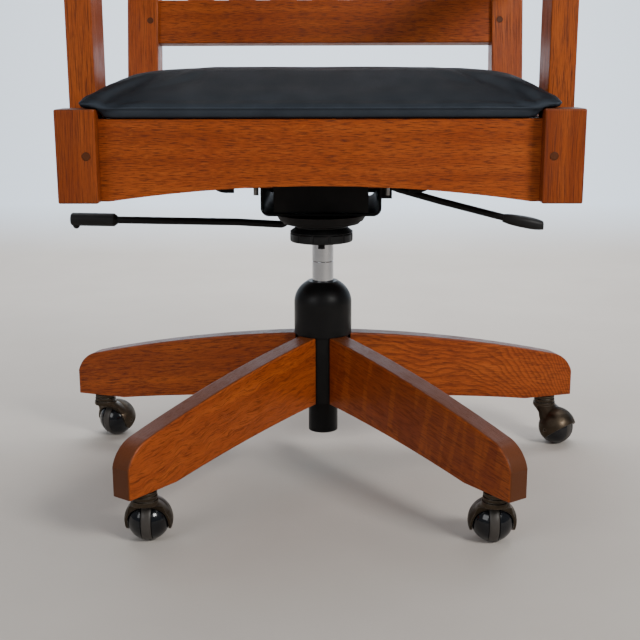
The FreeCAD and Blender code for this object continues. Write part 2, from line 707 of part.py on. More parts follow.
ears = [block("lever_ear_%d" % index, size.lever_pivot_x - 6, y, floor_top - 0.5, 12, 3,
              ear_height + 0.5)
        for index, y in enumerate((size.lever_radius + 0.5, -1 * size.lever_radius - 3.5))]
column_bore = rod("column_bore", size.socket_tube_radius - 1, 60, 0, 0, size.housing_floor - 20)
axle_bore_radius = size.tilt_axle_radius + size.running_gap
housing_bores = [
    rod("housing_bolt_bore", size.bolt_radius + 1, 40, 0, -1 * size.bolt_y, size.housing_floor - 20),
    rod("housing_lock_bore", size.lock_rod_radius + 0.08, 40, -1 * size.lock_x, -1 * size.lock_y,
        size.housing_floor - 20),
    rod("housing_axle_bore", axle_bore_radius, 2 * size.axle_bore_reach, -1 * size.axle_bore_reach,
        size.tilt_axle_y, size.tilt_axle_z, AXIS_Y, 90),
    block("housing_rear_step", -1 * half - 1, size.tilt_axle_y + size.rear_step_length - 4,
          housing_top - size.rear_step_depth, 2 * half + 2, size.housing_rear, size.housing_height),
    block("housing_lever_notch", wall_face - 5, -1 * size.lever_radius - 1.5, size.lever_z - 13, 20,
          2 * size.lever_radius + 3, 60),
]
trunnion_bore = rod("trunnion_bore", size.trunnion_radius + size.running_gap, 60, size.lever_pivot_x,
                    30, size.lever_z, AXIS_X, 90)
open_channel = cut("open_channel", channel, column_bore, *housing_bores)
bored_ears = cut("bored_ears", fuse("lever_ears", *ears), trunnion_bore)
part("mechanism_housing", fuse("mechanism_housing", open_channel, socket_tube, bored_ears))

# Spring dish: two pressed steps under the housing that the tension knob bears on
dish_wall = 2
dish_top = size.housing_floor
dish_mid = dish_top - 7.5
dish_steps = [
    ((size.dish_radius - 4.5, dish_mid),),
    ((size.dish_step_radius, dish_mid),),
    ((size.dish_step_radius - 2, dish_mid - 3.5),),
    ((size.dish_step_radius - 14, size.dish_lip_height),),
    ((size.bolt_radius + 1, size.dish_lip_height),),
    ((size.bolt_radius + 1, size.dish_lip_height + dish_wall),),
    ((size.dish_step_radius - 14.5, size.dish_lip_height + dish_wall),),
    ((size.dish_step_radius - 4, dish_mid - 1.5),),
    ((size.dish_step_radius - 2.5, dish_mid + dish_wall),),
    ((size.dish_radius - 6, dish_mid + dish_wall),),
    ((size.dish_radius - dish_wall - 0.5, dish_top),),
    ((size.dish_radius, dish_top),),
]
dish = turned("spring_dish", (size.dish_radius, dish_top), dish_steps)
part("spring_dish", place(dish, 0, -1 * size.bolt_y, 0))

# Tension knob: neck, flared collar and a fluted ring, turning on the bolt
knob_bore = size.bolt_radius + size.running_gap
knob_outline = [
    ((size.knob_radius - 0.6, size.knob_bottom),),
    ((size.knob_radius, size.knob_bottom + 1.2),),
    ((size.knob_radius, size.knob_ring_top - 1),),
    ((size.knob_radius - 1.4, size.knob_ring_top),),
    ((size.knob_radius, size.knob_ring_top + 1),),
    ((size.knob_radius, size.knob_flare_top),),
    ((size.knob_neck_radius, size.knob_neck_top - 1.5),),
    ((size.knob_neck_radius, size.knob_neck_top),),
    ((knob_bore, size.knob_neck_top),),
    ((knob_bore, size.knob_bottom + 4),),
    ((12, size.knob_bottom + 4),),
    ((14, size.knob_bottom),),
]
knob_blank = turned("knob_blank", (14, size.knob_bottom), knob_outline)
flutes = []
for index in range(int(SIZES["knob_flutes"])):
    turn = 360.0 * index / size.knob_flutes + 15
    flute = rod("knob_flute_%d" % index, 1.8, size.knob_ring_top - size.knob_bottom + 2,
                (size.knob_radius + 0.7) * trig("cos", turn),
                (size.knob_radius + 0.7) * trig("sin", turn), size.knob_bottom - 1)
    flutes.append(flute)
knob = cut("tension_knob", knob_blank, *flutes)
part("tension_knob", place(knob, 0, -1 * size.bolt_y, 0))

# Tension bolt, spring and retainer
tray_top = size.tray_height + size.plate_wall
spring_bottom = tray_top + 0.3
retainer_bottom = spring_bottom + size.spring_length + 0.3
retainer_top = retainer_bottom + size.retainer_height
bolt_shank = rod("bolt_shank", size.bolt_radius, retainer_top + 1 - size.bolt_bottom, 0,
                 -1 * size.bolt_y, size.bolt_bottom)
bolt_hex = hexagon("bolt_hex", size.bolt_head_radius, size.bolt_head, 0, -1 * size.bolt_y, retainer_top)
part("tension_bolt", fuse("tension_bolt", bolt_shank, bolt_hex))
retainer = ring("spring_retainer", size.bolt_radius + size.running_gap, size.retainer_radius,
                retainer_bottom, retainer_top)
part("spring_retainer", place(retainer, 0, -1 * size.bolt_y, 0))


def coil_spring():
    """Open coil with its turns, one quarter turn to an arc."""
    wire = size.spring_wire.value
    radius = size.spring_radius.value
    turns = size.spring_turns.value
    rise = size.spring_length.value - 2 * wire
    quarters = int(round(turns * 4))

    def at(quarter):
        angle = math.pi / 2 * quarter
        return V(radius * math.cos(angle), radius * math.sin(angle), wire + rise * quarter / quarters)

    arcs = [Part.Arc(at(q), at(q + 0.5), at(q + 1)).toShape() for q in range(quarters)]
    path = Part.Wire(arcs)
    start = V(0, 1, rise / quarters / (math.pi / 2 * radius))
    section = Part.Wire([Part.Circle(at(0), start, wire).toShape()])
    pitch = rise / turns
    print("spring gap between turns %.2f mm" % (pitch - 2 * wire))
    return path.makePipeShell([section], True, False)


spring = doc.addObject("Part::Feature", "tilt_spring")
spring.Shape = coil_spring()
part("tilt_spring", place(spring, 0, -1 * size.bolt_y, spring_bottom))

# Tilt plate: inner channel under the seat, hinged to the housing on the tilt axle
plate_face = size.plate_half - size.plate_wall
wall_outline = [
    ((-1 * size.tray_rear, size.tray_height),),
    ((10 - size.tray_rear, size.tray_height + 8),),
    ((size.tilt_axle_y - 12, size.tilt_axle_z - 9),),
    ((size.tilt_axle_y + 14, size.tilt_axle_z - 9),),
    ((size.housing_rear, size.tilt_axle_z - 3),),
    ((size.housing_rear, size.flange_height + 1),),
    ((-1 * size.plate_front, size.flange_height + 1),),
    ((-1 * size.plate_front, size.tray_height),),
]
plate_walls = []
for side, x in (("left", -1 * size.plate_half), ("right", plate_face)):
    wall = padded("plate_wall_" + side, "YZ_Plane", (-1 * size.plate_front, size.tray_height),
                  wall_outline, size.plate_wall)
    plate_walls.append(place(wall, x, 0, 0))
tray = block("plate_tray", -1 * size.plate_half, -1 * size.plate_front, size.tray_height,
             2 * size.plate_half, size.plate_front - size.tray_rear, size.plate_wall)
plate_nose = block("plate_nose", -1 * size.plate_half, -1 * size.plate_front, size.tray_height,
                   2 * size.plate_half, size.plate_wall, size.flange_height - size.tray_height)
flanges = []
for side, x in (("left", -1 * size.flange_half), ("right", plate_face)):
    flanges.append(block("plate_flange_" + side, x, -1 * size.flange_front, size.flange_height,
                         size.flange_half - plate_face, size.flange_front + size.flange_rear,
                         size.sheet_metal))
ear_foot = size.flange_height - size.flange_ear_drop
ear_steps = [
    ((size.flange_half - size.flange_ear, size.flange_height + 1),),
    ((size.flange_half - size.flange_ear, ear_foot),),
    ((size.flange_half - size.flange_ear * 0.6, ear_foot),),
    ((size.flange_half - size.flange_ear * 0.25, ear_foot + 2), (size.flange_half, ear_foot + 6)),
    ((size.flange_half, size.flange_height + 1),),
]
plate_ears = []
for side, turn in (("right", 0), ("left", 180)):
    ear = padded("plate_ear_" + side, "XZ_Plane", (size.flange_half, size.flange_height + 1),
                 ear_steps, size.plate_wall, symmetric=True)
    plate_ears.append(place(ear, 0, -1 * size.mount_front_y, 0, AXIS_Z, turn))
guide_tab = block("lever_guide_tab", size.housing_half + 1.5, -1 * size.mount_front_y + 12,
                  size.flange_height - size.guide_tab_drop, size.guide_tab_reach - 1.5,
                  size.plate_wall, size.guide_tab_drop + 1)
plate_blank = fuse("plate_blank", tray, plate_nose, guide_tab, *(plate_walls + flanges + plate_ears))
mount_points = [(side * size.mount_x, y) for side in (-1, 1)
                for y in (-1 * size.mount_front_y, size.mount_rear_y)]
plate_bores = [rod("plate_mount_bore_%d" % index, size.mount_bolt_radius + 0.1, 20, x, y,
                   size.flange_height - 8) for index, (x, y) in enumerate(mount_points)]
plate_bores.append(rod("plate_bolt_bore", size.spring_radius - size.spring_wire - 1.5, 20, 0,
                       -1 * size.bolt_y, size.tray_height - 5))
plate_bores.append(rod("plate_axle_bore", axle_bore_radius, 2 * size.axle_bore_reach,
                       -1 * size.axle_bore_reach, size.tilt_axle_y, size.tilt_axle_z, AXIS_Y, 90))
plate_bores.append(block("plate_lever_notch", plate_face - 5, -1 * size.lever_radius - 3.5,
                         size.tilt_axle_z + 1, 15, 2 * size.lever_radius + 7,
                         size.lever_z + 8 - size.tilt_axle_z))
part("tilt_plate", cut("tilt_plate", plate_blank, *plate_bores))

# Tilt axle with its spacer bushes
axle_end = size.housing_half + 2
part("tilt_axle", rod("tilt_axle", size.tilt_axle_radius, 2 * axle_end, -1 * axle_end,
                      size.tilt_axle_y, size.tilt_axle_z, AXIS_Y, 90))
spacers = []
spacer_length = wall_face - size.plate_half - 0.4
for side, x in (("left", -1 * wall_face + 0.2), ("right", size.plate_half + 0.2)):
    blank = rod("spacer_blank_" + side, size.tilt_axle_radius + 3.4, spacer_length, x,
                size.tilt_axle_y, size.tilt_axle_z, AXIS_Y, 90)
    hole = rod("spacer_hole_" + side, axle_bore_radius, spacer_length + 2, x - 1,
               size.tilt_axle_y, size.tilt_axle_z, AXIS_Y, 90)
    spacers.append(cut("spacer_" + side, blank, hole))
part("axle_spacers", group("axle_spacers", *spacers))


def bent_rod(name, points, radius, bend):
    """Round bar along straight runs joined by arcs, in the XZ plane."""
    places = [V(number(x), 0, number(z)) for x, z in points]
    edges = []
    last = places[0]
    for index in range(1, len(places) - 1):
        before = (places[index - 1] - places[index]).normalize()
        after = (places[index + 1] - places[index]).normalize()
        half_turn = (math.pi - before.getAngle(after)) / 2
        reach = bend * math.tan(half_turn)
        first = places[index] + before * reach
        second = places[index] + after * reach
        inward = (before + after).normalize()
        middle = places[index] + inward * (bend / math.cos(half_turn) - bend)
        edges.append(Part.LineSegment(last, first).toShape())
        edges.append(Part.Arc(first, middle, second).toShape())
        last = second
    edges.append(Part.LineSegment(last, places[-1]).toShape())
    section = Part.Wire([Part.Circle(places[0], places[1] - places[0], number(radius)).toShape()])
    return Part.Wire(edges).makePipeShell([section], True, False)


# Height lever: rod on its trunnion over the release button, with a flat paddle grip
lever_obj = doc.addObject("Part::Feature", "height_lever")
lever_shape = bent_rod("height_lever", [
    (-1 * size.button_radius - 1, size.lever_z),
    (size.lever_knee_x, size.lever_z),
    (size.lever_bend_x, size.lever_bend_z),
    (size.lever_turn_x, size.lever_turn_z),
    (size.lever_end_x + 20, size.lever_end_z - 4.5),
], size.lever_radius, 60)
trunnion = Part.makeCylinder(size.trunnion_radius.value, 2 * size.lever_radius.value + 7,
                             V(size.lever_pivot_x.value, -size.lever_radius.value - 3.5,
                               size.lever_z.value), AXIS_Y)
lever_obj.Shape = lever_shape.fuse(trunnion)
part("height_lever", place(lever_obj))


def paddle_section(along, height, depth, centre):
    """Rounded rectangle across the paddle at one station."""
    corner_radius = height * 0.42
    h, d, r = height / 2, depth / 2, corner_radius
    k = r * (1 - math.sqrt(0.5))

    def p(y, z):
        return V(along, y, centre + z)

    edges = []
    for (a, b), (m, n) in (
        ((p(-d + r, -h), p(d - r, -h)), (p(d - k, -h + k), p(d, -h + r))),
        ((p(d, -h + r), p(d, h - r)), (p(d - k, h - k), p(d - r, h))),
        ((p(d - r, h), p(-d + r, h)), (p(-d + k, h - k), p(-d, h - r))),
        ((p(-d, h - r), p(-d, -h + r)), (p(-d + k, -h + k), p(-d + r, -h))),
    ):
        edges.append(Part.LineSegment(a, b).toShape())
        edges.append(Part.Arc(b, m, n).toShape())
    return Part.Wire(edges)


def paddle():
    """Paddle grip: slim at the rod, full in the middle, blunt at the tip."""
    length = size.paddle_length.value
    stations = ((0, 0.66, 0.55), (0.12, 0.84, 0.72), (0.45, 1.0, 1.0), (0.8, 0.97, 0.96), (1, 0.72, 0.7))
    wires = []
    slope = -0.18
    for share, tall, wide in stations:
        wires.append(paddle_section(size.lever_end_x.value - 6 + share * length,
                                    size.paddle_height.value * tall, size.paddle_depth.value * wide,
                                    size.lever_end_z.value + slope * (share * length - 6)))
    solid = Part.makeLoft(wires, True, False)
    return solid.cut(lever_shape)


paddle_obj = doc.addObject("Part::Feature", "height_grip")
paddle_obj.Shape = paddle()
part("height_grip", place(paddle_obj))

# Tilt lock lever: rod that turns up through the housing floor into a small cam, round grip
lock_obj = doc.addObject("Part::Feature", "tilt_lock_lever")
lock_shape = bent_rod("tilt_lock_lever", [
    (0, floor_top + 2),
    (0, size.lock_z),
    (size.lock_x - size.lock_bend_x, size.lock_z + size.lock_bend_rise),
    (size.lock_x - size.lock_end_x - 30, size.lock_end_z + 0.5),
], size.lock_rod_radius, 8)
cam = Part.makeCylinder(8, 4, V(0, 0, floor_top.value + 0.3), AXIS_Z)
cam = cam.fuse(Part.makeBox(7, 20, 4, V(-3.5, 0, floor_top.value + 0.3)))
lock_obj.Shape = lock_shape.fuse(cam)
part("tilt_lock_lever", place(lock_obj, -1 * size.lock_x, -1 * size.lock_y, 0))

grip_angle = 90 + math.degrees(math.atan2(number(size.lock_end_rise - size.lock_bend_rise),
                                          number(size.lock_end_x - size.lock_bend_x)))
grip_outline = [
    ((size.lock_grip_radius - 3, 0),),
    ((size.lock_grip_radius, 4),),
    ((size.lock_grip_radius, size.lock_grip_length - 3),),
    ((size.lock_grip_radius - 0.9, size.lock_grip_length - 0.9),
     (size.lock_grip_radius - 3, size.lock_grip_length)),
    ((0, size.lock_grip_length),),
    ((0, 0),),
]
grip_bar = turned("lock_grip_bar", (0, 0), grip_outline)
grip_lug = ball("lock_grip_lug", size.lock_lug_radius, -1 * size.lock_lug_drop, 0,
                size.lock_grip_length - size.lock_lug_radius - 2)
grip_blank = fuse("lock_grip_blank", grip_bar, grip_lug)
place(grip_blank, -1 * size.lock_end_x, -1 * size.lock_y, size.lock_end_z, AXIS_Y, -1 * (180 - grip_angle))
grip_room = doc.addObject("Part::Feature", "lock_grip_room")
grip_room.Shape = lock_shape
place(grip_room, -1 * size.lock_x, -1 * size.lock_y, 0)
part("tilt_lock_grip", cut("tilt_lock_grip", grip_blank, grip_room))

# Front posts with their pegs, and the arched front rail between them
peg_holes = {"front_post_left": [], "front_post_right": []}
pegs = []
for side, sign in (("left", -1), ("right", 1)):
    x = sign * (size.seat_half + size.peg_inset)
    length = size.peg_length + size.peg_proud
    pegs.append(rod("front_peg_" + side, size.peg_radius, length, x,
                    -1 * size.post_front - size.peg_proud, size.peg_height, AXIS_X, -90))
    hole = rod("front_peg_hole_" + side, size.peg_radius + 0.02, length + 1, x,
               -1 * size.post_front - size.peg_proud - 1, size.peg_height, AXIS_X, -90)
    corner_x = size.seat_half if sign > 0 else -1 * (size.seat_half + size.post_width)
    post = eased_block("front_post_blank_" + side, corner_x, -1 * size.post_front, size.post_bottom,
                       size.post_width, size.post_depth, size.post_top - size.post_bottom,
                       size.wood_edge_round)
    part("front_post_" + side, cut("front_post_" + side, post, hole))

arch_x = size.seat_half - size.rail_arch_end
rail_outline = [
    ((-1 * arch_x, size.rail_end_bottom),),
    ((0, size.rail_end_bottom + size.rail_arch_rise), (arch_x, size.rail_end_bottom)),
    ((size.seat_half, size.rail_end_bottom),),
    ((size.seat_half, size.rail_top),),
    ((-1 * size.seat_half, size.rail_top),),
    ((-1 * size.seat_half, size.rail_end_bottom),),
]
front_rail = padded("front_rail", "XZ_Plane", (-1 * size.seat_half, size.rail_end_bottom),
                    rail_outline, size.rail_thick)
ease(front_rail, size.wood_edge_round * 0.6,
     lambda edge: edge.BoundBox.XLength > 100 and edge.BoundBox.ZMin > number(size.rail_top) - 1)
part("front_rail", place(front_rail, 0, size.rail_thick - size.rail_front, 0))

# Side rails, rear rail, bearers, deck and corner blocks
rail_back = size.post_depth - size.post_front
side_length = size.rear_post_y - rail_back
for side, x in (("left", -1 * (size.seat_half + size.rail_thick)), ("right", size.seat_half)):
    part("side_rail_" + side, block("side_rail_" + side, x, rail_back, size.side_rail_bottom,
                                    size.rail_thick, side_length,
                                    size.rail_top - size.side_rail_bottom))
rear_rail_y = size.rear_post_y + 6
part("rear_rail", block("rear_rail", -1 * size.seat_half, rear_rail_y, size.side_rail_bottom,
                        2 * size.seat_half, size.rail_thick, size.rail_top - size.side_rail_bottom))
bearer_bottom = size.flange_height + size.sheet_metal
front_inner = size.rail_thick - size.rail_front
for side, sign in (("left", -1), ("right", 1)):
    x = sign * size.mount_x - size.bearer_width / 2
    board = block("bearer_blank_" + side, x, front_inner, bearer_bottom, size.bearer_width,
                  rear_rail_y - front_inner, size.bearer_thick)
    holes = [rod("bearer_bore_%s_%d" % (side, index), size.mount_bolt_radius + 0.1, 60,
                 sign * size.mount_x, y, bearer_bottom - 10)
             for index, y in enumerate((-1 * size.mount_front_y, size.mount_rear_y))]
    part("bearer_" + side, cut("bearer_" + side, board, *holes))
mount_bolts = []
bearer_top = bearer_bottom + size.bearer_thick
for index, (x, y) in enumerate(mount_points):
    shank = rod("mount_shank_%d" % index, size.mount_bolt_radius,
                bearer_top + 0.5 - size.mount_bolt_bottom, x, y, size.mount_bolt_bottom)
    head = rod("mount_head_%d" % index, size.washer_radius, 3, x, y, bearer_top)
    mount_bolts.append(fuse("mount_bolt_%d" % index, shank, head))
    washer = rod("mount_washer_%d" % index, size.washer_radius, 1.2, x, y, size.flange_height - 1.2)
    nut = hexagon("mount_nut_%d" % index, size.nut_radius, size.nut_height, x, y,
                  size.flange_height - 1.2 - size.nut_height)
    bore = rod("mount_nut_bore_%d" % index, size.mount_bolt_radius + 0.02, 20, x, y,
               size.flange_height - 12)
    mount_bolts.append(cut("mount_nut_set_%d" % index, fuse("mount_nut_pair_%d" % index, washer, nut),
                           bore))
part("mount_bolts", group("mount_bolts", *mount_bolts))

deck_bottom = size.rail_top - size.deck_thick
part("seat_deck", block("seat_deck", -1 * size.seat_half, front_inner, deck_bottom,
                        2 * size.seat_half, rear_rail_y - front_inner, size.deck_thick))
blocks = []
block_bottom = deck_bottom - size.block_height
for index, (x_sign, y, y_sign) in enumerate(((-1, front_inner, 1), (1, front_inner, 1),
                                             (-1, rear_rail_y, -1), (1, rear_rail_y, -1))):
    x = x_sign * size.seat_half
    outline = [((x - x_sign * size.block_leg, y),), ((x, y + y_sign * size.block_leg),), ((x, y),)]
    wedge = padded("corner_block_%d" % index, "XY_Plane", (x, y), outline, size.block_height)
    blocks.append(place(wedge, 0, 0, block_bottom))
part("corner_blocks", group("corner_blocks", *blocks))

# Back posts: upright to the bend, then raked
rake = trig("tan", size.back_rake)
post_rise = size.back_length * trig("cos", size.back_rake)
back_shift = size.back_length * trig("sin", size.back_rake)
post_rear = size.rear_post_y + size.rear_post_depth
top_z = size.back_bend + post_rise
post_steps = [
    ((post_rear, size.post_bottom),),
    ((post_rear, size.back_bend),),
    ((size.rear_post_y + back_shift + size.back_post_top_depth, top_z),),
    ((size.rear_post_y + back_shift, top_z),),
    ((size.rear_post_y, size.back_bend),),
    ((size.rear_post_y, size.post_bottom),),
]
back_hole_heights = (("lower", size.lower_rail_bottom + size.lower_rail_height / 2),
                     ("crest", size.crest_top - size.crest_height / 2))


def raked(obj, x, forward, along, turn=0):
    """Place an object in the frame of the raked back: along its rise, behind its front face."""
    return place(obj, x,
                 size.rear_post_y + along * trig("sin", size.back_rake)
                 + forward * trig("cos", size.back_rake),
                 size.back_bend + along * trig("cos", size.back_rake)
                 - forward * trig("sin", size.back_rake), AXIS_X, turn - size.back_rake)


for side, sign in (("left", -1), ("right", 1)):
    x = size.seat_half if sign > 0 else -1 * (size.seat_half + size.post_width)
    post = padded("back_post_blank_" + side, "YZ_Plane", (size.rear_post_y, size.post_bottom),
                  post_steps, size.post_width)
    ease(post, size.wood_edge_round, lambda edge: edge.Length > 1)
    place(post, x, 0, 0)
    holes = []
    for level, along in back_hole_heights:
        peg_x = sign * (size.seat_half + size.peg_inset)
        plug = rod("back_peg_%s_%s" % (side, level), size.peg_radius,
                   size.peg_length + size.peg_proud, 0, 0, 0)
        bore = rod("back_peg_hole_%s_%s" % (side, level), size.peg_radius + 0.02,
                   size.peg_length + size.peg_proud + 1, 0, 0, 0)
        for stick, start in ((plug, size.peg_proud), (bore, size.peg_proud + 1)):
            raked(stick, peg_x, -1 * start, along, -90)
        pegs.append(plug)
        holes.append(bore)
    part("back_post_" + side, cut("back_post_" + side, post, *holes))

# Back rails and slats, all in the raked frame
crest_outline = [
    ((size.seat_half, 0),),
    ((size.seat_half, size.crest_height - size.crest_arch),),
    ((0, size.crest_height), (-1 * size.seat_half, size.crest_height - size.crest_arch)),
    ((-1 * size.seat_half, 0),),
]
crest = padded("crest_rail", "XZ_Plane", (-1 * size.seat_half, 0), crest_outline,
               size.back_rail_thick, reverse=True)
ease(crest, size.wood_edge_round, lambda edge: edge.BoundBox.XLength > number(size.seat_half))
part("crest_rail", raked(crest, 0, size.back_rail_set_back, size.crest_top - size.crest_height))
lower_rail = padded("lower_back_rail", "XZ_Plane",
                    *rectangle(-1 * size.seat_half, 0, size.seat_half, size.lower_rail_height),
                    size.back_rail_thick, reverse=True)
ease(lower_rail, size.wood_edge_round, lambda edge: edge.BoundBox.XLength > number(size.seat_half))
part("lower_back_rail", raked(lower_rail, 0, size.back_rail_set_back, size.lower_rail_bottom))
slat_bottom = size.lower_rail_bottom + size.lower_rail_height
slat_length = size.crest_top - size.crest_height - slat_bottom
slats = []
slat_pitch = 2 * size.seat_half / (size.slat_count + 1)
slat_set_back = size.back_rail_set_back + (size.back_rail_thick - size.slat_thick) / 2
for index in range(int(SIZES["slat_count"])):
    slat = block("back_slat_%d" % index, 0, 0, 0, size.slat_width, size.slat_thick, slat_length)
    x = (index + 1) * slat_pitch - size.seat_half - size.slat_width / 2
    slats.append(raked(slat, x, slat_set_back, slat_bottom))
part("back_slats", group("back_slats", *slats))

# Arm supports on the outside of the side rails, and the arms on top of them
arm_bottom = size.arm_top - size.arm_thick
for side, sign in (("left", -1), ("right", 1)):
    inner = size.seat_half + size.rail_thick
    x = inner if sign > 0 else -1 * (inner + size.support_thick)
    board = eased_block("support_blank_" + side, x, -1 * size.support_front, size.support_bottom,
                        size.support_thick, size.support_width, arm_bottom - size.support_bottom,
                        size.wood_edge_round)
    holes = []
    for level, height in (("low", size.side_rail_bottom + 18), ("high", size.rail_top - 18)):
        face = inner + size.support_thick + size.peg_proud
        start = face if sign > 0 else -1 * face
        turn = -90 if sign > 0 else 90
        middle = -1 * size.support_front + size.support_width / 2
        pegs.append(rod("support_peg_%s_%s" % (side, level), size.peg_radius,
                        size.peg_length + size.peg_proud, start, middle, height, AXIS_Y, turn))
        holes.append(rod("support_peg_hole_%s_%s" % (side, level), size.peg_radius + 0.02,
                         size.peg_length + size.peg_proud + 1, start + sign, middle, height,
                         AXIS_Y, turn))
    part("arm_support_" + side, cut("arm_support_" + side, board, *holes))

    near = sign * size.arm_inner
    far = sign * size.arm_outer
    corner_x = sign * (size.arm_outer - size.arm_corner)
    corner_in = sign * (size.arm_inner + size.arm_corner)
    bow = size.arm_corner * (1 - math.sqrt(0.5))
    front = -1 * size.arm_front
    rear = size.rear_post_y + (size.arm_top - size.back_bend) * rake + 8
    arm_steps = [
        ((corner_x, front),),
        ((sign * (size.arm_outer - bow), front + bow), (far, front + size.arm_corner)),
        ((far, rear),),
        ((near, rear),),
        ((near, front + size.arm_corner),),
        ((sign * (size.arm_inner + bow), front + bow), (corner_in, front)),
    ]
    arm = padded("arm_blank_" + side, "XY_Plane", (corner_in, front), arm_steps, size.arm_thick)
    ease(arm, size.wood_edge_round + 1, lambda edge: edge.BoundBox.ZLength < 0.01
         and edge.BoundBox.YMin < 200)
    place(arm, 0, 0, arm_bottom)
    wedge_length = size.arm_outer + size.post_width
    wedge = block("arm_wedge_" + side, 0, 0, 0, wedge_length, size.post_depth * 1.4,
                  size.arm_thick * 8)
    raked(wedge, -1 * wedge_length if sign < 0 else 0, 0,
          size.arm_top - size.back_bend - size.arm_thick * 4)
    part("arm_" + side, cut("arm_" + side, arm, wedge))
part("joint_pegs", group("joint_pegs", *pegs))


# Cushion: recessed plinth between the posts under a crowned pad that overhangs them
def rounded_section(half_width, front, rear, height, corner_radius):
    """Rounded rectangle at one height."""
    w, f, b, r = half_width, -front, rear, corner_radius
    k = r * (1 - math.sqrt(0.5))

    def p(x, y):
        return V(x, y, height)

    edges = []
    for (a, c), (m, n) in (
        ((p(-w + r, f), p(w - r, f)), (p(w - k, f + k), p(w, f + r))),
        ((p(w, f + r), p(w, b - r)), (p(w - k, b - k), p(w - r, b))),
        ((p(w - r, b), p(-w + r, b)), (p(-w + k, b - k), p(-w, b - r))),
        ((p(-w, b - r), p(-w, f + r)), (p(-w + k, f + k), p(-w + r, f))),
    ):
        edges.append(Part.LineSegment(a, c).toShape())
        edges.append(Part.Arc(c, m, n).toShape())
    return Part.Wire(edges)


def cushion():
    low = size.rail_top.value + size.cushion_gap.value
    seam = size.post_top.value + size.cushion_gap.value
    plinth = Part.makeLoft([
        rounded_section(size.plinth_half.value - 3, size.plinth_front.value - 3,
                        size.plinth_rear.value - 3, low, 12),
        rounded_section(size.plinth_half.value, size.plinth_front.value,
                        size.plinth_rear.value, seam + 2, 12),
    ], True, True)
    wires = []
    for share in (0, 0.12, 0.27, 0.45, 0.63, 0.79, 0.91, 0.975):
        inset = -size.cushion_softness.value * math.log(1 - share)
        wires.append(rounded_section(size.cushion_half.value - inset,
                                     size.cushion_front.value - inset,
                                     size.cushion_rear.value - inset * 0.8,
                                     seam + size.cushion_crown.value * share,
                                     size.cushion_corner.value + inset * 0.5))
    pad = Part.makeLoft(wires, True, False)
    return plinth.fuse(pad)


cushion_obj = doc.addObject("Part::Feature", "seat_cushion")
cushion_obj.Shape = cushion()
part("seat_cushion", place(cushion_obj))

# Check every object, then write each sub-part to its own file
doc.recompute()
faults = []
for obj in doc.Objects:
    if "Invalid" in obj.State or "Error" in obj.State:
        faults.append("%s is %s" % (obj.Label, obj.State))
for obj in parts:
    if obj.Shape.isNull() or not obj.Shape.isValid() or not obj.Shape.Solids:
        faults.append("%s has no valid solid" % obj.Label)
if faults:
    raise RuntimeError("; ".join(faults))
os.makedirs("parts", exist_ok=True)
for obj in parts:
    obj.Shape.exportStep("parts/%s.step" % obj.Label)
print("%d sub-parts written" % len(parts))
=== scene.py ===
"""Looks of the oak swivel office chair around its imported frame. Metres, +Z up."""
import json
import math

import bpy
import numpy as np
from mathutils import Matrix, Vector, noise


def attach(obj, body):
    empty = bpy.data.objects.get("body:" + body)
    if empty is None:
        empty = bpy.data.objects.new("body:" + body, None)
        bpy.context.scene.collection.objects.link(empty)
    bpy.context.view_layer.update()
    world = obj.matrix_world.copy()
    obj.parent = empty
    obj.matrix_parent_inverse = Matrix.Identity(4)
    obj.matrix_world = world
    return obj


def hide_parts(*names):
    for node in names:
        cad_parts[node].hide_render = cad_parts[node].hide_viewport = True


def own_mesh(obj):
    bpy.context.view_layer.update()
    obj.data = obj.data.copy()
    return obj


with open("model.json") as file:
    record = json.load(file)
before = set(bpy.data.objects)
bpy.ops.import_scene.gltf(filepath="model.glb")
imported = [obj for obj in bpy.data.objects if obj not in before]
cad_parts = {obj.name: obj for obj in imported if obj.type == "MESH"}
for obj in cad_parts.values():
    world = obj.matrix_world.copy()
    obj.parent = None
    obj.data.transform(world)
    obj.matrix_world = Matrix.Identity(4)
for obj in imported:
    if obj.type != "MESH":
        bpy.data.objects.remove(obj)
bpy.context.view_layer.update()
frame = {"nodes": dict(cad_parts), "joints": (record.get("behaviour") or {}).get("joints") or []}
nodes = frame["nodes"]
joints = {joint["name"]: joint for joint in frame["joints"]}
X, Y, Z = Vector((1, 0, 0)), Vector((0, 1, 0)), Vector((0, 0, 1))
COUNT = 5

# Camera: half a metre off the floor in front of the chair, looking a little down at the base
CAMERA_PLACE = (0.0216, -1.4265, 0.5315)
CAMERA_PITCH, CAMERA_YAW, CAMERA_ROLL = math.radians(13.04), math.radians(-1.025), math.radians(-0.15)
CAMERA_SENSOR, CAMERA_LENS = 36, 61.81


def aim_camera():
    """Set up the camera at its place, without depth of field."""
    pitch, yaw, roll = CAMERA_PITCH, CAMERA_YAW, CAMERA_ROLL
    forward = Vector((math.sin(yaw) * math.cos(pitch), math.cos(yaw) * math.cos(pitch),
                      -math.sin(pitch)))
    side = Vector((math.cos(yaw), -math.sin(yaw), 0))
    up = side.cross(forward)
    right = side * math.cos(roll) + up * math.sin(roll)
    top = up * math.cos(roll) - side * math.sin(roll)
    data = bpy.data.cameras.new("camera")
    data.sensor_width = CAMERA_SENSOR
    data.lens = CAMERA_LENS
    data.dof.use_dof = False
    camera = bpy.data.objects.new("camera", data)
    bpy.context.scene.collection.objects.link(camera)
    turn = Matrix((right, top, -forward)).transposed().to_4x4()
    camera.matrix_world = Matrix.Translation(CAMERA_PLACE) @ turn
    bpy.context.scene.camera = camera


aim_camera()


# Materials

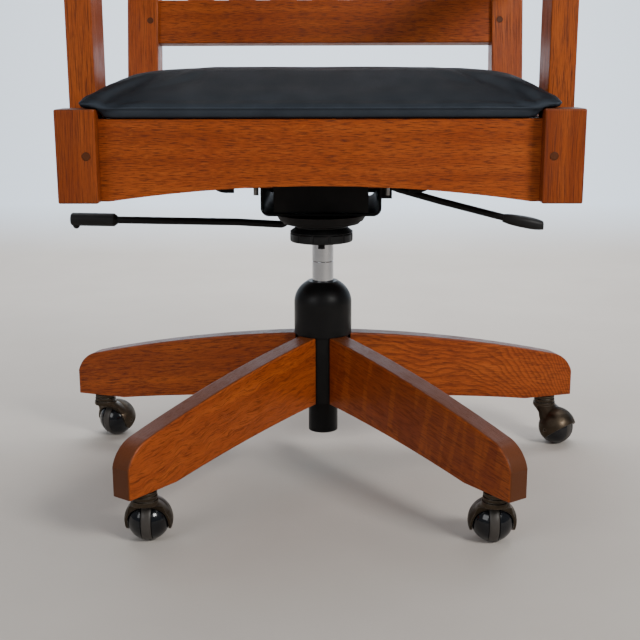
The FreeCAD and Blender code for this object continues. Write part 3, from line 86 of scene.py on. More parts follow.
class Shade:
    """A material's node tree with short calls to add and join nodes."""

    def __init__(self, name):
        self.mat = bpy.data.materials.new(name)
        self.mat.use_nodes = True
        self.tree = self.mat.node_tree
        self.tree.nodes.clear()

    def add(self, kind, inputs=None, **props):
        made = self.tree.nodes.new("ShaderNode" + kind)
        for key, value in props.items():
            setattr(made, key, value)
        for key, value in (inputs or {}).items():
            if isinstance(value, bpy.types.NodeSocket):
                self.tree.links.new(value, made.inputs[key])
            else:
                made.inputs[key].default_value = value
        return made

    def math(self, operation, a, b=0.5, c=0.5):
        return self.add("Math", {0: a, 1: b, 2: c}, operation=operation).outputs[0]

    def place(self, turn=(0, 0, 0), shift=(0, 0, 0)):
        where = self.add("TexCoord").outputs["Object"]
        return self.add("Mapping", {"Vector": where, "Rotation": turn, "Location": shift}).outputs[0]

    def stretch(self, where, scale):
        return self.add("VectorMath", {0: where, 1: scale}, operation="MULTIPLY").outputs[0]

    def noise(self, where, scale=1.0, detail=3.0, rough=0.5, twist=0.0):
        return self.add("TexNoise", {"Vector": where, "Scale": scale, "Detail": detail,
                                     "Roughness": rough, "Distortion": twist}).outputs["Fac"]

    def ramp(self, value, *stops):
        made = self.add("ValToRGB", {"Fac": value})
        ends = made.color_ramp.elements
        while len(ends) < len(stops):
            ends.new(0.5)
        for end, (position, colour) in zip(ends, stops):
            end.position = position
            end.color = colour if len(colour) == 4 else (*colour, 1)
        return made.outputs["Color"]

    def remap(self, value, low, high, out_low=0.0, out_high=1.0):
        return self.add("MapRange", {"Value": value, "From Min": low, "From Max": high,
                                     "To Min": out_low, "To Max": out_high}).outputs["Result"]

    def mix(self, share, a, b, blend="MIX"):
        made = self.add("Mix", data_type="RGBA", blend_type=blend)
        for socket, value in ((made.inputs[0], share), (made.inputs[6], a), (made.inputs[7], b)):
            if isinstance(value, bpy.types.NodeSocket):
                self.tree.links.new(value, socket)
            else:
                socket.default_value = value if not isinstance(value, tuple) or len(value) == 4 \
                    else (*value, 1)
        return made.outputs[2]

    def rounded(self, radius):
        """Normal with softened edges, and how near an outer edge a point is."""
        soft = self.add("Bevel", {"Radius": radius}, samples=6).outputs[0]
        plain = self.add("NewGeometry").outputs["Normal"]
        facing = self.add("VectorMath", {0: soft, 1: plain}, operation="DOT_PRODUCT").outputs["Value"]
        return soft, self.remap(facing, 0.995, 0.80)

    def facing(self, way):
        """How squarely the surface faces a direction of the piece, either way round."""
        normal = self.add("TexCoord").outputs["Normal"]
        dot = self.add("VectorMath", {0: normal, 1: tuple(Vector(way).normalized())},
                       operation="DOT_PRODUCT").outputs["Value"]
        return self.math("ABSOLUTE", dot)

    def bump(self, height, strength, distance, normal):
        return self.add("Bump", {"Height": height, "Strength": strength, "Distance": distance,
                                 "Normal": normal}).outputs[0]

    def finish(self, inputs):
        shader = self.add("BsdfPrincipled", inputs)
        self.add("OutputMaterial", {"Surface": shader.outputs[0]})
        return self.mat


def grain_turn(along, face):
    """Euler turn that lays the grain direction on local X and the board's face on local Z."""
    a = along.normalized()
    n = (face - a * face.dot(a)).normalized()
    return Matrix((a, n.cross(a), n)).to_euler()


# Tones of the varnished oak, from its growth bands to its end grain and its paler edges, which are part
# rubbed wear and part painted highlight
BAND_DARK, BAND_MID, BAND_LIGHT = (0.240, 0.0420, 0.0045), (0.345, 0.0680, 0.0070), (0.460, 0.1030, 0.0110)
CLOUD, RING, RAY = (0.265, 0.0400, 0.0040), (0.115, 0.0170, 0.0014), (0.46, 0.105, 0.012)
PORE, FIBRE = (0.060, 0.0090, 0.0014), (0.085, 0.0130, 0.0016)
NARROW_FACE, END_GRAIN = (0.104, 0.0290, 0.0085), (0.080, 0.0205, 0.0030)
# The first tone on this line is the paler edge tone, part rubbed wear and part a painted highlight along
# the arrises; the second darkens the pegs' rims
WORN_AND_HIGHLIT_EDGE, SUNK = (0.42, 0.13, 0.030), (0.020, 0.0060, 0.0020)
OAK_LIFT, EDGE_ROUND = 1.06, 0.0011
FLAME_START, FLAME_CLIMB, RINGS_PER_METRE = 0.19, 5.5, 128.0


def toned(colour, lift):
    """A wood tone made lighter or darker, with its little blue kept."""
    return colour[0] * lift, colour[1] * lift, colour[2]


def flame_lines(s, here, plain):
    """Growth rings that fall towards a board's outer end, as thin dark lines."""
    along, across, _ = s.add("SeparateXYZ", {0: plain}).outputs
    reach = s.math("MAXIMUM", s.math("SUBTRACT", along, FLAME_START), 0.0)
    climb = s.math("MULTIPLY", s.math("MULTIPLY", reach, reach), FLAME_CLIMB)
    waver = s.remap(s.noise(s.stretch(here, (15, 26, 26)), 1, 2, 0.5), 0, 1, -0.017, 0.017)
    field = s.math("ADD", s.math("ADD", across, climb), waver)
    ring = s.math("FRACT", s.math("MULTIPLY", field, RINGS_PER_METRE))
    return s.math("MULTIPLY", s.remap(ring, 0.35, 0.80), s.remap(ring, 1.0, 0.88))


def oak(name, along, face, seed, tone=0.0, figure="straight", narrow_share=0.15, edge_tone=WORN_AND_HIGHLIT_EDGE):
    """Quartersawn oak under warm varnish: growth bands, dark pores and ray flecks along one board.

    A "lined" board has long straight pores, a "curly" one wandering streaks, a "rayed" one broad
    flecks across the grain, and a "flamed" one wide growth rings that fall towards its outer end.
    The narrow faces are darker, and patches along the edges go to edge_tone, by default a paler tone that
    is part rubbed wear and part painted highlight.
    """
    s = Shade(name)
    turn = tuple(grain_turn(Vector(along), Vector(face)))
    here = s.place(turn, (seed * 1.37, seed * 0.71, seed * 0.43))
    sway = s.noise(s.stretch(here, (2.5, 9, 9)), 1, 1)
    swing = s.remap(sway, 0, 1, -0.012, 0.012)
    if figure == "curly":
        swirl = s.noise(s.stretch(here, (34, 52, 52)), 1, 1, 0.5)
        swing = s.math("ADD", swing, s.remap(swirl, 0, 1, -0.0080, 0.0080))
    drift = s.add("VectorMath", {0: here, 1: s.add("CombineXYZ", {1: swing}).outputs[0]},
                  operation="ADD").outputs[0]
    bands = s.noise(s.stretch(drift, (1.6, 75, 30)), 1, 3, 0.55)
    run = 20 if figure == "lined" else 64
    depth = 0.80 if figure in ("straight", "lined") else 0.64
    streaks = s.noise(s.stretch(drift, (run, 1000, 1000)), 1, 3, 0.66)
    fibres = s.noise(s.stretch(drift, (150, 1900, 1900)), 1, 2, 0.6)
    pore = s.remap(streaks, 0.48, 0.62)
    patch = s.remap(s.noise(s.stretch(here, (9, 14, 14)), 1, 1), 0.42, 0.62)
    flecks = s.noise(s.stretch(drift, (70, 300, 240)), 1, 2, 0.5, 0.9)
    fleck = s.math("MULTIPLY", s.remap(flecks, 0.55, 0.66), patch)
    if figure == "rayed":
        broad = s.remap(s.noise(s.stretch(here, (62, 8, 8)), 1, 1, 0.5, 0.8), 0.53, 0.60)
        fleck = s.math("MAXIMUM", fleck, s.math("MULTIPLY", broad, 1.35))
    cloud = s.noise(here, 9, 3, 0.6)
    lift = OAK_LIFT + tone
    base = s.ramp(bands, (0.25, toned(BAND_DARK, lift)), (0.5, toned(BAND_MID, lift)),
                  (0.78, toned(BAND_LIGHT, lift)))
    warm = s.mix(s.remap(cloud, 0.35, 0.7, 0, 0.55), base, toned(CLOUD, lift))
    if figure == "flamed":
        line = flame_lines(s, here, s.place(turn))
        warm = s.mix(s.math("MULTIPLY", line, 0.60), warm, toned(RING, lift))
    rayed = s.mix(s.math("MULTIPLY", fleck, 0.42), warm, toned(RAY, lift))
    pored = s.mix(s.math("MULTIPLY", pore, depth), rayed, PORE)
    fine = s.mix(s.remap(fibres, 0.45, 0.7, 0, 0.30), pored, FIBRE)
    narrow = s.remap(s.facing(face), 0.80, 0.35, 0, narrow_share)
    darker = s.mix(narrow, fine, NARROW_FACE)
    end = s.remap(s.facing(along), 0.35, 0.97, 0, 0.85)
    ended = s.mix(end, darker, END_GRAIN)
    soft, edge = s.rounded(EDGE_ROUND)
    # Paler patches along the edges: part rubbed wear, part a painted highlight along the arrises
    edge_patches = s.math("MULTIPLY", edge, s.remap(s.noise(here, 130, 3), 0.35, 0.65))
    colour = s.mix(s.math("MULTIPLY", edge_patches, 0.45), ended, edge_tone)
    height = s.math("SUBTRACT", s.math("MULTIPLY", fibres, 0.35), pore)
    bumped = s.bump(height, 0.28, 0.00022, soft)
    gloss = s.remap(s.noise(here, 26, 3), 0.3, 0.7, 0.36, 0.48)
    gloss = s.math("ADD", gloss, s.math("MULTIPLY", pore, 0.2))
    coat_normal = s.bump(s.noise(s.stretch(here, (60, 220, 220)), 1, 2), 0.10, 0.0004, soft)
    return s.finish({"Base Color": colour, "Roughness": gloss, "Normal": bumped,
                     "Specular IOR Level": 0.22, "Coat Weight": 0.07, "Coat Roughness": 0.24,
                     "Coat Normal": coat_normal})


# Dust, bare steel where paint has chipped, and worn edges of metal
PAINT_DUST, PLASTIC_DUST = (0.028, 0.027, 0.025), (0.06, 0.058, 0.055)
BARE_STEEL, WORN_METAL = (0.075, 0.072, 0.068), (0.72, 0.68, 0.62)


def paint(name, colour, rough, peel=0.25, chips=0.25):
    """Satin paint on pressed steel with orange peel, dust and rubbed edges."""
    s = Shade(name)
    here = s.place()
    soft, edge = s.rounded(0.0009)
    dust = s.remap(s.noise(here, 34, 5, 0.6), 0.45, 0.75, 0, 0.18)
    dusty = s.mix(dust, colour, PAINT_DUST)
    rubbed = s.math("MULTIPLY", edge, s.remap(s.noise(here, 210, 4), 0.45, 0.62))
    shown = s.mix(s.math("MULTIPLY", rubbed, chips), dusty, BARE_STEEL)
    skin = s.noise(here, 900, 2)
    gloss = s.remap(s.noise(here, 60, 3), 0.3, 0.7, rough - 0.06, rough + 0.08)
    return s.finish({"Base Color": shown, "Roughness": gloss, "Specular IOR Level": 0.16,
                     "Normal": s.bump(skin, peel, 0.0002, soft)})


def metal(name, colour, rough, brush=(6, 6, 900), tarnish=(0.10, 0.075, 0.05), age=0.12, edge_share=0.2):
    """Bare metal with brushing, tarnish in clouds and brighter edges."""
    s = Shade(name)
    here = s.place()
    soft, edge = s.rounded(0.0007)
    lines = s.noise(s.stretch(here, brush), 1, 3, 0.6)
    cloud = s.remap(s.noise(here, 75, 4, 0.6), 0.42, 0.7)
    aged = s.mix(s.math("MULTIPLY", cloud, age), colour, tarnish)
    bright = s.mix(s.math("MULTIPLY", edge, edge_share), aged, WORN_METAL)
    gloss = s.math("ADD", s.remap(lines, 0.3, 0.7, rough - 0.05, rough + 0.07),
                   s.math("MULTIPLY", cloud, age * 0.8))
    return s.finish({"Base Color": bright, "Metallic": 1.0, "Roughness": gloss,
                     "Normal": s.bump(lines, 0.12, 0.0001, soft)})


def plastic(name, colour, rough, grain=0.3, fine=1500, shine=0.26):
    """Moulded plastic with a fine grain."""
    s = Shade(name)
    here = s.place()
    soft, edge = s.rounded(0.0006)
    pits = s.noise(here, fine, 2)
    dust = s.remap(s.noise(here, 50, 5, 0.65), 0.5, 0.78, 0, 0.16)
    shown = s.mix(s.math("MAXIMUM", dust, s.math("MULTIPLY", edge, 0.10)), colour, PLASTIC_DUST)
    gloss = s.remap(s.noise(here, 90, 3), 0.3, 0.7, rough - 0.05, rough + 0.06)
    return s.finish({"Base Color": shown, "Roughness": gloss, "Specular IOR Level": shine,
                     "Normal": s.bump(pits, grain, 0.00015, soft)})


# Tones of the leather between folds and on them: a dark top and paler upright sides, which are painted
# shade on the top and painted light on the sides
SHADED_TOP_HIDE = (0.0024, 0.0036, 0.0054), (0.0040, 0.0057, 0.0084)
LIT_SIDE_HIDE = (0.0315, 0.0390, 0.0500), (0.0430, 0.0530, 0.0670)


def leather():
    """Black leather: pebbled grain, creases, a cool sheen, painted shade on its top and painted light on
    its paler upright sides.
    """
    s = Shade("black_leather")
    here = s.place()
    shifted = s.add("VectorMath", {0: here, 1: s.stretch(s.add("TexNoise", {
        "Vector": here, "Scale": 160.0, "Detail": 2.0}).outputs["Color"], (0.0018, 0.0018, 0.0018))},
        operation="ADD").outputs[0]
    cells = s.add("TexVoronoi", {"Vector": shifted, "Scale": 620.0},
                  feature="DISTANCE_TO_EDGE").outputs["Distance"]
    pebble = s.remap(cells, 0.0, 0.16)
    folds = s.noise(s.stretch(here, (26, 26, 40)), 1, 4, 0.55)
    height = s.math("ADD", s.math("MULTIPLY", pebble, 0.6), s.math("MULTIPLY", folds, 1.2))
    top = s.mix(s.remap(folds, 0.35, 0.7), *SHADED_TOP_HIDE)
    upright = s.mix(s.remap(folds, 0.35, 0.7), *LIT_SIDE_HIDE)
    # Painted light and shade: the top is painted darker and the upright sides paler, for how the light
    # falls on them
    tone = s.mix(s.remap(s.facing(Z), 0.95, 0.45), top, upright)
    gloss = s.remap(s.noise(here, 30, 4), 0.3, 0.7, 0.46, 0.58)
    flat = s.add("NewGeometry").outputs["Normal"]
    return s.finish({"Base Color": tone, "Roughness": gloss, "Specular IOR Level": 0.06,
                     "Normal": s.bump(height, 0.35, 0.0006, flat),
                     "Sheen Weight": 0.01, "Sheen Roughness": 0.45,
                     "Sheen Tint": (0.55, 0.65, 0.80, 1)})


# Darker and lighter tone of the floor, and the wall's tone
FLOOR_TONES = (0.475, 0.432, 0.388), (0.575, 0.530, 0.480)
WALL_TONE = (0.715, 0.790, 0.870)


def studio_surface():
    """Pale matt floor that turns into a lighter painted wall as it sweeps up."""
    s = Shade("pale_studio")
    here = s.place()
    cloud = s.noise(here, 3.2, 4, 0.6)
    floor = s.mix(cloud, *FLOOR_TONES)
    high = s.add("SeparateXYZ", {0: here}).outputs[2]
    tone = s.mix(s.remap(high, 0.002, 0.10), floor, WALL_TONE)
    fine = s.noise(here, 260, 3, 0.6)
    flat = s.add("NewGeometry").outputs["Normal"]
    return s.finish({"Base Color": tone, "Roughness": 0.9, "Specular IOR Level": 0.06,
                     "Normal": s.bump(fine, 0.25, 0.001, flat)})


# The materials with one look for every piece that has them
black_paint = paint("black_satin_paint", (0.0076, 0.0072, 0.0071), 0.60)
column_paint = paint("black_column_paint", (0.0062, 0.0061, 0.0062), 0.38, 0.35, 0.12)
lever_paint = paint("black_lever_paint", (0.0065, 0.0065, 0.0068), 0.36, 0.2, 0.2)
grip_plastic = plastic("black_grip_plastic", (0.0085, 0.0085, 0.0088), 0.50, 0.45)
knob_plastic = plastic("black_knob_plastic", (0.0048, 0.0048, 0.0050), 0.44, 0.3)
bush_plastic = plastic("black_bush_plastic", (0.0060, 0.0060, 0.0062), 0.40, 0.15)
rod_steel = metal("bright_lift_steel", (0.49, 0.505, 0.53), 0.11, (4, 4, 700), (0.34, 0.335, 0.33), 0.10)
zinc = metal("zinc_hardware", (0.36, 0.355, 0.34), 0.34, (300, 300, 300), (0.16, 0.135, 0.105), 0.5)
spring_steel = metal("spring_steel", (0.24, 0.24, 0.25), 0.36, (80, 80, 400), (0.10, 0.075, 0.06), 0.4)
bronze = metal("dark_bronze", (0.070, 0.053, 0.037), 0.36, (90, 90, 420), (0.034, 0.026, 0.018), 0.45,
               0.22)
ball_black = plastic("black_ball_resin", (0.0030, 0.0038, 0.0055), 0.12, 0.04, 500, 0.42)
tread_grey = plastic("grey_tread", (0.052, 0.046, 0.041), 0.42, 0.35, 700)
leather_black = leather()
peg_wood = oak("peg_end_grain", (0, 1, 0), (1, 0, 0), 40, -0.80, edge_tone=SUNK)
deck_wood = oak("deck_board", (0, 1, 0), (0, 0, 1), 44, -0.15)


def dress(node, material):
    """Give a CAD node its material."""
    mesh = nodes[node].data
    mesh.materials.clear()
    mesh.materials.append(material)


# Each board of the seat, the arms and the back: its grain, its wide face, a seed and a tone
RAKE = math.radians(11)
raked_up = (0, math.sin(RAKE), math.cos(RAKE))
raked_face = (0, -math.cos(RAKE), math.sin(RAKE))
boards = {
    "front_rail": (X, -Y, 1, -0.06), "rear_rail": (X, -Y, 2, -0.05),
    "side_rail_left": (Y, X, 3, 0), "side_rail_right": (Y, X, 4, 0),
    "front_post_left": (Z, -Y, 5, -0.26), "front_post_right": (Z, -Y, 6, -0.26),
    "back_post_left": (raked_up, raked_face, 7, 0), "back_post_right": (raked_up, raked_face, 8, 0),
    "arm_support_left": (Z, X, 9, -0.02), "arm_support_right": (Z, X, 10, 0),
    "arm_left": (Y, Z, 11, 0.04), "arm_right": (Y, Z, 12, 0.03),
    "crest_rail": (X, raked_face, 13, 0.02), "lower_back_rail": (X, raked_face, 14, 0),
    "back_slats": (raked_up, raked_face, 15, 0.01),
}
for node, (along, face, seed, tone) in boards.items():
    figure = "lined" if "post" in node or "support" in node else "straight"
    dress(node, oak("oak_" + node, along, face, seed, tone, figure))

# The legs fall a little towards their tips, and their narrow faces are much darker
LEG_FALL, LEG_NARROW_SHARE, LEG_SEED = -0.17, 0.85, 20
LEG_TONES = (0.0, 0.05, -0.28, 0.01, -0.15)
LEG_FIGURES = ("straight", "flamed", "rayed", "curly", "straight")
for index in range(COUNT):
    angle = math.tau * index / COUNT
    out = Vector((math.sin(angle), math.cos(angle), LEG_FALL))
    side = Vector((math.cos(angle), -math.sin(angle), 0))
    leg = "leg_%d" % (index + 1)
    dress(leg, oak("oak_" + leg, out, side, LEG_SEED + index, LEG_TONES[index], LEG_FIGURES[index],
                   LEG_NARROW_SHARE))

# Every other node's material
for material, group in (
        (deck_wood, ("bearer_left", "bearer_right", "seat_deck", "corner_blocks")),
        (peg_wood, ("joint_pegs",)),
        (black_paint, ("mechanism_housing", "spring_dish", "tilt_plate", "spring_retainer",
                       "tension_bolt")),
        (column_paint, ("hub", "hub_cover", "column_tube")),
        (lever_paint, ("height_lever", "tilt_lock_lever")),
        (grip_plastic, ("height_grip", "tilt_lock_grip")),
        (knob_plastic, ("tension_knob",)),
        (bush_plastic, ("guide_bush", "release_button")),
        (rod_steel, ("gas_cylinder", "piston_rod", "thrust_bearing")),
        (zinc, ("leg_fasteners", "mount_bolts", "caster_sockets", "tilt_axle", "axle_spacers")),
        (bronze, ["caster_%d_hood" % (index + 1) for index in range(COUNT)])):
    for node in group:
        dress(node, material)


def smooth(obj, angle=32):
    """Smooth shading on curved faces, hard on real corners."""
    mesh = obj.data
    mesh.polygons.foreach_set("use_smooth", [True] * len(mesh.polygons))
    mesh.update()
    sharp = mesh.attributes.get("sharp_edge") or mesh.attributes.new("sharp_edge", "BOOLEAN", "EDGE")
    faces = {}
    for polygon in mesh.polygons:
        for key in polygon.edge_keys:
            faces.setdefault(key, []).append(polygon.normal)
    limit = math.cos(math.radians(angle))
    flags = []
    for edge in mesh.edges:
        near = faces.get(edge.key, [])
        flags.append(len(near) == 2 and near[0].dot(near[1]) < limit)
    sharp.data.foreach_set("value", flags)


def mesh_object(name, points, faces, material, angle=32):
    """New smooth shaded object from points and faces."""
    mesh = bpy.data.meshes.new(name)
    mesh.from_pydata([tuple(p) for p in points], [], faces)
    mesh.materials.append(material)
    made = bpy.data.objects.new(name, mesh)
    bpy.context.scene.collection.objects.link(made)
    smooth(made, angle)
    return made


def lathe(name, outline, material, steps=96, angle=32):
    """Closed outline of (radius, height) pairs turned about Z."""
    points, faces, count = [], [], len(outline)
    for k in range(steps):
        turn = 2 * math.pi * k / steps
        points += [(r * math.cos(turn), r * math.sin(turn), z) for r, z in outline]
    for k in range(steps):
        for i in range(count):
            j = (i + 1) % count
            a, b = k * count, (k + 1) % steps * count
            faces.append((a + i, b + i, b + j, a + j))
    return mesh_object(name, points, faces, material, angle)


# Casters: polished half balls with a seam groove, and a ribbed tread band between them
BALL, TREAD, BORE = 0.0245, 0.00575, 0.00255
GROOVE, GROOVE_LIP, CHAMFER, INNER_CHAMFER = 0.0002, 0.0003, 0.0010, 0.0016
HUB_FLAT, HUB_RIM, HUB_STEP, HUB_DROP, HUB_DEPTH = 0.003, 0.0026, 0.0020, 0.0008, 0.0018
RIBS, RIB_DEPTH, CROWN, TREAD_SHARE = 13, 0.00012, 0.0007, 0.97


def half_ball():
    """Outline of one half ball, from its inner face over the round to its axle recess."""
    rim = math.sqrt(BALL ** 2 - TREAD ** 2)
    outline = [(BORE, TREAD + GROOVE)]
    outline += [(rim - INNER_CHAMFER, TREAD + GROOVE), (rim - CHAMFER, TREAD + GROOVE_LIP)]
    start, end = math.asin((TREAD + CHAMFER) / BALL), math.acos((BORE + HUB_FLAT) / BALL)
    outline += [(BALL * math.cos(t), BALL * math.sin(t)) for t in np.linspace(start, end, 22)]
    outline += [(BORE + HUB_RIM, BALL - HUB_DROP), (BORE + HUB_STEP, BALL - HUB_DEPTH)]
    outline.append((BORE, BALL - HUB_DEPTH))
    return outline


def tread_band():
    """Outline of the tread, a little crowned and finely ribbed."""
    outline = [(BORE, -TREAD + GROOVE / 2)]
    for k, u in enumerate(np.linspace(-1, 1, RIBS)):
        radius = math.sqrt(BALL ** 2 - (TREAD * u) ** 2)
        outline.append((radius - CROWN * abs(u) ** 6 - RIB_DEPTH * (k % 2), TREAD * TREAD_SHARE * u))
    outline.append((BORE, TREAD - GROOVE / 2))
    return outline


half, band = half_ball(), tread_band()
for index in range(COUNT):
    name = "caster_%d" % (index + 1)
    roll = joints[name + "_roll"]
    spin = Z.rotation_difference(Vector(roll["axis"])).to_matrix().to_4x4()
    place = Matrix.Translation(roll["pos_m"]) @ spin
    pieces = [lathe(name + "_ball_right", half, ball_black),
              lathe(name + "_ball_left", [(r, -z) for r, z in reversed(half)], ball_black),
              lathe(name + "_tread", band, tread_grey, 120)]
    for piece in pieces:
        piece.data.transform(place)
        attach(piece, name + "_wheel")
        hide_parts(name + "_ball")


# Tilt spring: round wire coil with room for the drawn bolt; the real spring shortens as the seat tips back
SPRING_RADIUS, SPRING_WIRE, SPRING_TURNS = 0.016, 0.0022, 4
SPRING_FOOT, SPRING_TOP, SPRING_Y = 0.3658, 0.4093, -0.105


def coil(name, radius, wire, turns, low, high, centre, material):
    """Round wire wound about Z, with flat cut ends."""
    steps, ring = turns * 40, 14
    points, faces = [], []
    for k in range(steps + 1):
        t = k / steps
        angle = 2 * math.pi * turns * t
        z = low + wire + (high - low - 2 * wire) * t
        out = Vector((math.cos(angle), math.sin(angle), 0))
        for m in range(ring):
            a = 2 * math.pi * m / ring
            point = centre + out * (radius + wire * math.cos(a)) + Z * (z + wire * math.sin(a))
            points.append(point)
    for k in range(steps):
        for m in range(ring):
            n = (m + 1) % ring
            faces.append((k * ring + m, k * ring + n, (k + 1) * ring + n, (k + 1) * ring + m))
    faces.append(tuple(reversed(range(ring))))
    faces.append(tuple(steps * ring + m for m in range(ring)))
    return mesh_object(name, points, faces, material, 50)


spring = coil("tilt_spring_coil", SPRING_RADIUS, SPRING_WIRE, SPRING_TURNS, SPRING_FOOT, SPRING_TOP,
              Y * SPRING_Y, spring_steel)
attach(spring, "seat")
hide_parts("tilt_spring")
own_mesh(spring)


# Cushion: leather over foam, swollen by a short cloth simulation and drawn to its welt line
MIDDLE = np.array((0.0, -0.023))
SEAM = 0.487
DRAW_IN, VOXEL, SWELL_CAP, SWELL_FRAMES = 0.0015, 0.0045, 0.006, 20
CROWN_START, CROWN_CLIMB, CROWN_SINK = 0.497, 0.03, 0.003
RIM_START, RIM_CLIMB = 0.4875, 0.008
PLEAT_START, PLEAT_RUN = (0.185, 0.145), (0.07, 0.065)
PLEAT_CENTRE, PLEAT_DEPTH, PLEAT_RATE = 0.10, 0.0012, 34
PULL_DEPTH, PULL_RATE = 0.0009, 11
# Half width, front and rear of the welt over the posts and of the foot between them
RIM_HALF, RIM_FRONT, RIM_REAR, RIM_ROUND = 0.2606, 0.2336, 0.1876, 0.034
FOOT_HALF, FOOT_FRONT, FOOT_REAR, FOOT_ROUND = 0.2388, 0.2312, 0.1862, 0.018
FOOT_TOP, FOOT_STEP, OVER_POST, CLEARANCE = 0.4840, 0.0040, 0.4871, 0.0002
WELT_HEIGHT, WELT_INSET, WELT_WIDTH, WELT_FLOOR = 0.0014, 0.005, 0.0045, 0.489


def upholster():
    """Make the leather pad from the cushion's node: shrunk, swollen, pleated and drawn to its welt."""
    source = nodes["seat_cushion"]
    pad = bpy.data.objects.new("leather_cushion", source.data.copy())
    bpy.context.scene.collection.objects.link(pad)
    for vertex in pad.data.vertices:
        for axis in (0, 1):
            offset = vertex.co[axis] - MIDDLE[axis]
            vertex.co[axis] -= math.copysign(min(abs(offset), DRAW_IN), offset)
        vertex.co.z -= CROWN_SINK * max(0.0, (vertex.co.z - CROWN_START) / CROWN_CLIMB)
    remesh = pad.modifiers.new("remesh", "REMESH")
    remesh.mode = "VOXEL"
    remesh.voxel_size = VOXEL
    apply_modifiers(pad)
    points = np.array([v.co[:] for v in pad.data.vertices])
    points = swell(pad, points)
    for index, (x, y, z) in enumerate(points):
        across, along = abs(x), y - MIDDLE[1]
        rim = max(0.0, min(1.0, (z - RIM_START) / RIM_CLIMB))
        corner = max(0.0, across - PLEAT_START[0]) / PLEAT_RUN[0]
        corner *= max(0.0, abs(along) - PLEAT_START[1]) / PLEAT_RUN[1]
        way = math.atan2(along, across - PLEAT_CENTRE)
        pleat = PLEAT_DEPTH * min(1.0, corner) * math.sin(way * PLEAT_RATE) * rim
        pull = PULL_DEPTH * noise.noise(Vector((x * PULL_RATE, y * PULL_RATE, 0.3))) * rim
        points[index, 2] = z + pull - abs(pleat)
    pad.data.vertices.foreach_set("co", points.astype(np.float32).ravel())
    pad.data.update()
    surface = pad.modifiers.new("smooth", "SMOOTH")
    surface.factor = 0.5
    surface.iterations = 4
    divide = pad.modifiers.new("divide", "SUBSURF")
    divide.levels = divide.render_levels = 1
    apply_modifiers(pad)
    points = np.array([v.co[:] for v in pad.data.vertices])
    pad.data.vertices.foreach_set("co", fitted(points).astype(np.float32).ravel())
    pad.data.update()
    pad.data.materials.clear()
    pad.data.materials.append(leather_black)
    pad.data.polygons.foreach_set("use_smooth", [True] * len(pad.data.polygons))
    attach(pad, "seat")
    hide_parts("seat_cushion")


def swell(pad, rest):
    """Blow the pad up a little while its seam and underside stay put."""
    pin = pad.vertex_groups.new(name="pin")
    low = [v.index for v in pad.data.vertices if v.co.z < SEAM]
    pin.add(low, 1.0, "REPLACE")
    cloth = pad.modifiers.new("cloth", "CLOTH")
    settings = cloth.settings
    settings.quality = 6
    settings.mass = 0.35
    settings.tension_stiffness = 25
    settings.compression_stiffness = 25
    settings.shear_stiffness = 8
    settings.bending_stiffness = 2.5
    settings.use_pressure = True
    settings.uniform_pressure_force = 4.0
    settings.effector_weights.gravity = 0
    settings.vertex_group_mass = "pin"
    cloth.collision_settings.use_self_collision = False
    cloth.collision_settings.use_collision = False
    for number in range(1, SWELL_FRAMES + 1):
        bpy.context.scene.frame_set(number)
    apply_modifiers(pad)
    bpy.context.scene.frame_set(1)
    step = np.array([v.co[:] for v in pad.data.vertices]) - rest
    length = np.linalg.norm(step, axis=1)
    length[length == 0] = 1
    return rest + step * np.minimum(1, SWELL_CAP / length)[:, None]


def fitted(points):
    """Draw the smoothed pad out to its welt over the posts and its foot between them."""
    x, y, z = points.T
    above = np.clip((z - FOOT_TOP) / FOOT_STEP, 0, 1)
    above = above * above * (3 - 2 * above)
    high, low = z > FOOT_TOP + FOOT_STEP, z < FOOT_TOP

    def between(rim, foot):
        return above * rim + (1 - above) * foot

    wide = x * between(RIM_HALF / np.abs(x[high]).max(), FOOT_HALF / np.abs(x[low]).max())
    deep = between(np.interp(y, (y[high].min(), y[high].max()), (-RIM_FRONT, RIM_REAR)),
                   np.interp(y, (y[low].min(), y[low].max()), (-FOOT_FRONT, FOOT_REAR)))
    reach, least = between(RIM_ROUND, FOOT_ROUND), 0.001
    for way, rim, foot in ((-1, RIM_FRONT, FOOT_FRONT), (1, RIM_REAR, FOOT_REAR)):
        u = (np.abs(wide) - between(RIM_HALF, FOOT_HALF) + reach) / reach
        v = (way * deep - between(rim, foot) + reach) / reach
        inside = (u > least) & (v > least)
        draw = np.where(inside, (np.hypot(u, v) / np.maximum(np.maximum(u, v), least)) ** 0.6, 1)
        wide = wide + np.sign(wide) * np.where(inside, u * (draw - 1) * reach, 0)
        deep = deep + way * np.where(inside, v * (draw - 1) * reach, 0)
    side = np.minimum(RIM_HALF - np.abs(wide), np.minimum(deep + RIM_FRONT, RIM_REAR - deep))
    lift = WELT_HEIGHT * np.exp(-((side - WELT_INSET) / WELT_WIDTH) ** 2) * (z > WELT_FLOOR)
    wide = np.clip(wide, -RIM_HALF - CLEARANCE, RIM_HALF + CLEARANCE)
    deep = np.clip(deep, -RIM_FRONT - CLEARANCE, RIM_REAR + CLEARANCE)
    outside = np.abs(wide) > FOOT_HALF + CLEARANCE
    tall = np.where(outside, np.maximum(z, OVER_POST), z) + lift
    return np.column_stack((wide, deep, tall))


def apply_modifiers(obj):
    """Replace an object's mesh by what its modifiers show."""
    graph = bpy.context.evaluated_depsgraph_get()
    graph.update()
    made = bpy.data.meshes.new_from_object(obj.evaluated_get(graph))
    obj.modifiers.clear()
    obj.data = made


upholster()

# Smooth shading on every CAD node that still shows
for node, obj in nodes.items():
    if not obj.hide_render:
        smooth(obj)


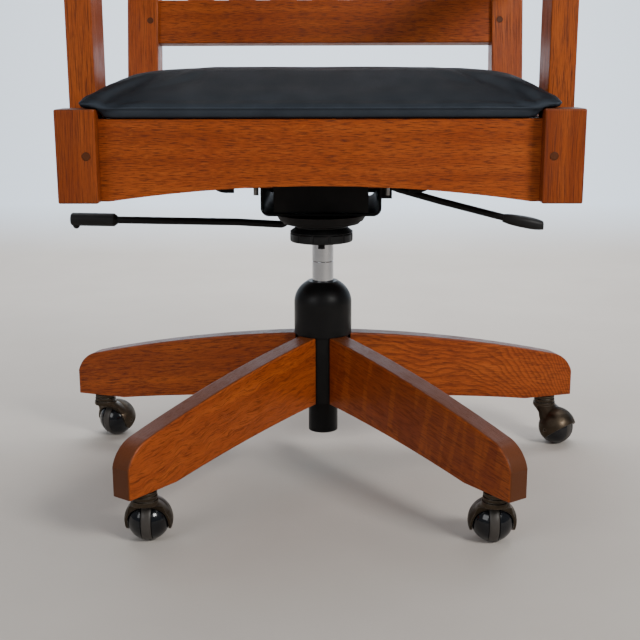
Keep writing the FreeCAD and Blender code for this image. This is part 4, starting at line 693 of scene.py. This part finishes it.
# Floor that sweeps up into a backdrop, and soft studio light
FLOOR_FRONT, BEND_START, BEND_RADIUS, WALL_TOP, HALF_WIDTH = -7.0, 1.6, 1.2, 5.0, 8.0
LIGHTS = (
    ("key", (1.7, -1.9, 1.7), (0, 0, 0.3), (0.8, 0.7), 60, (1.0, 0.985, 0.96)),
    ("fill", (-1.9, -2.1, 1.5), (0, 0, 0.3), (1.6, 1.4), 27, (0.97, 0.985, 1.0)),
    ("overhead", (0.1, 0.7, 2.5), (0, 0.2, 0.1), (2.4, 1.6), 24, (0.97, 0.98, 1.0)),
    ("wall_wash", (0.0, 1.0, 2.3), (0, 2.7, 0.9), (3.2, 0.8), 104, (0.95, 0.975, 1.0)),
)
AMBIENT, AMBIENT_POWER = (0.80, 0.84, 0.92, 1), 0.26


def sweep():
    """One sheet for the floor and the wall behind, joined by a round bend."""
    rows = [(FLOOR_FRONT, 0.0), (BEND_START, 0.0)]
    for t in np.linspace(0.08, math.pi / 2, 20):
        rows.append((BEND_START + BEND_RADIUS * math.sin(t), BEND_RADIUS - BEND_RADIUS * math.cos(t)))
    rows.append((BEND_START + BEND_RADIUS, WALL_TOP))
    points = [(x, y, z) for y, z in rows for x in (-HALF_WIDTH, HALF_WIDTH)]
    faces = [(2 * i, 2 * i + 1, 2 * i + 3, 2 * i + 2) for i in range(len(rows) - 1)]
    floor = mesh_object("studio_sweep", points, faces, studio_surface(), 60)


def area_light(name, where, target, size, power, colour):
    """Rectangular lamp that looks at a target."""
    data = bpy.data.lights.new(name, "AREA")
    data.shape = "RECTANGLE"
    data.size, data.size_y = size
    data.energy = power
    data.color = colour
    made = bpy.data.objects.new(name, data)
    made.location = where
    made.rotation_euler = (Vector(target) - Vector(where)).to_track_quat("-Z", "Y").to_euler()
    bpy.context.scene.collection.objects.link(made)


sweep()
for light in LIGHTS:
    area_light(*light)
world = bpy.data.worlds.new("studio")
world.use_nodes = True
world.node_tree.nodes["Background"].inputs[0].default_value = AMBIENT
world.node_tree.nodes["Background"].inputs[1].default_value = AMBIENT_POWER
bpy.context.scene.world = world
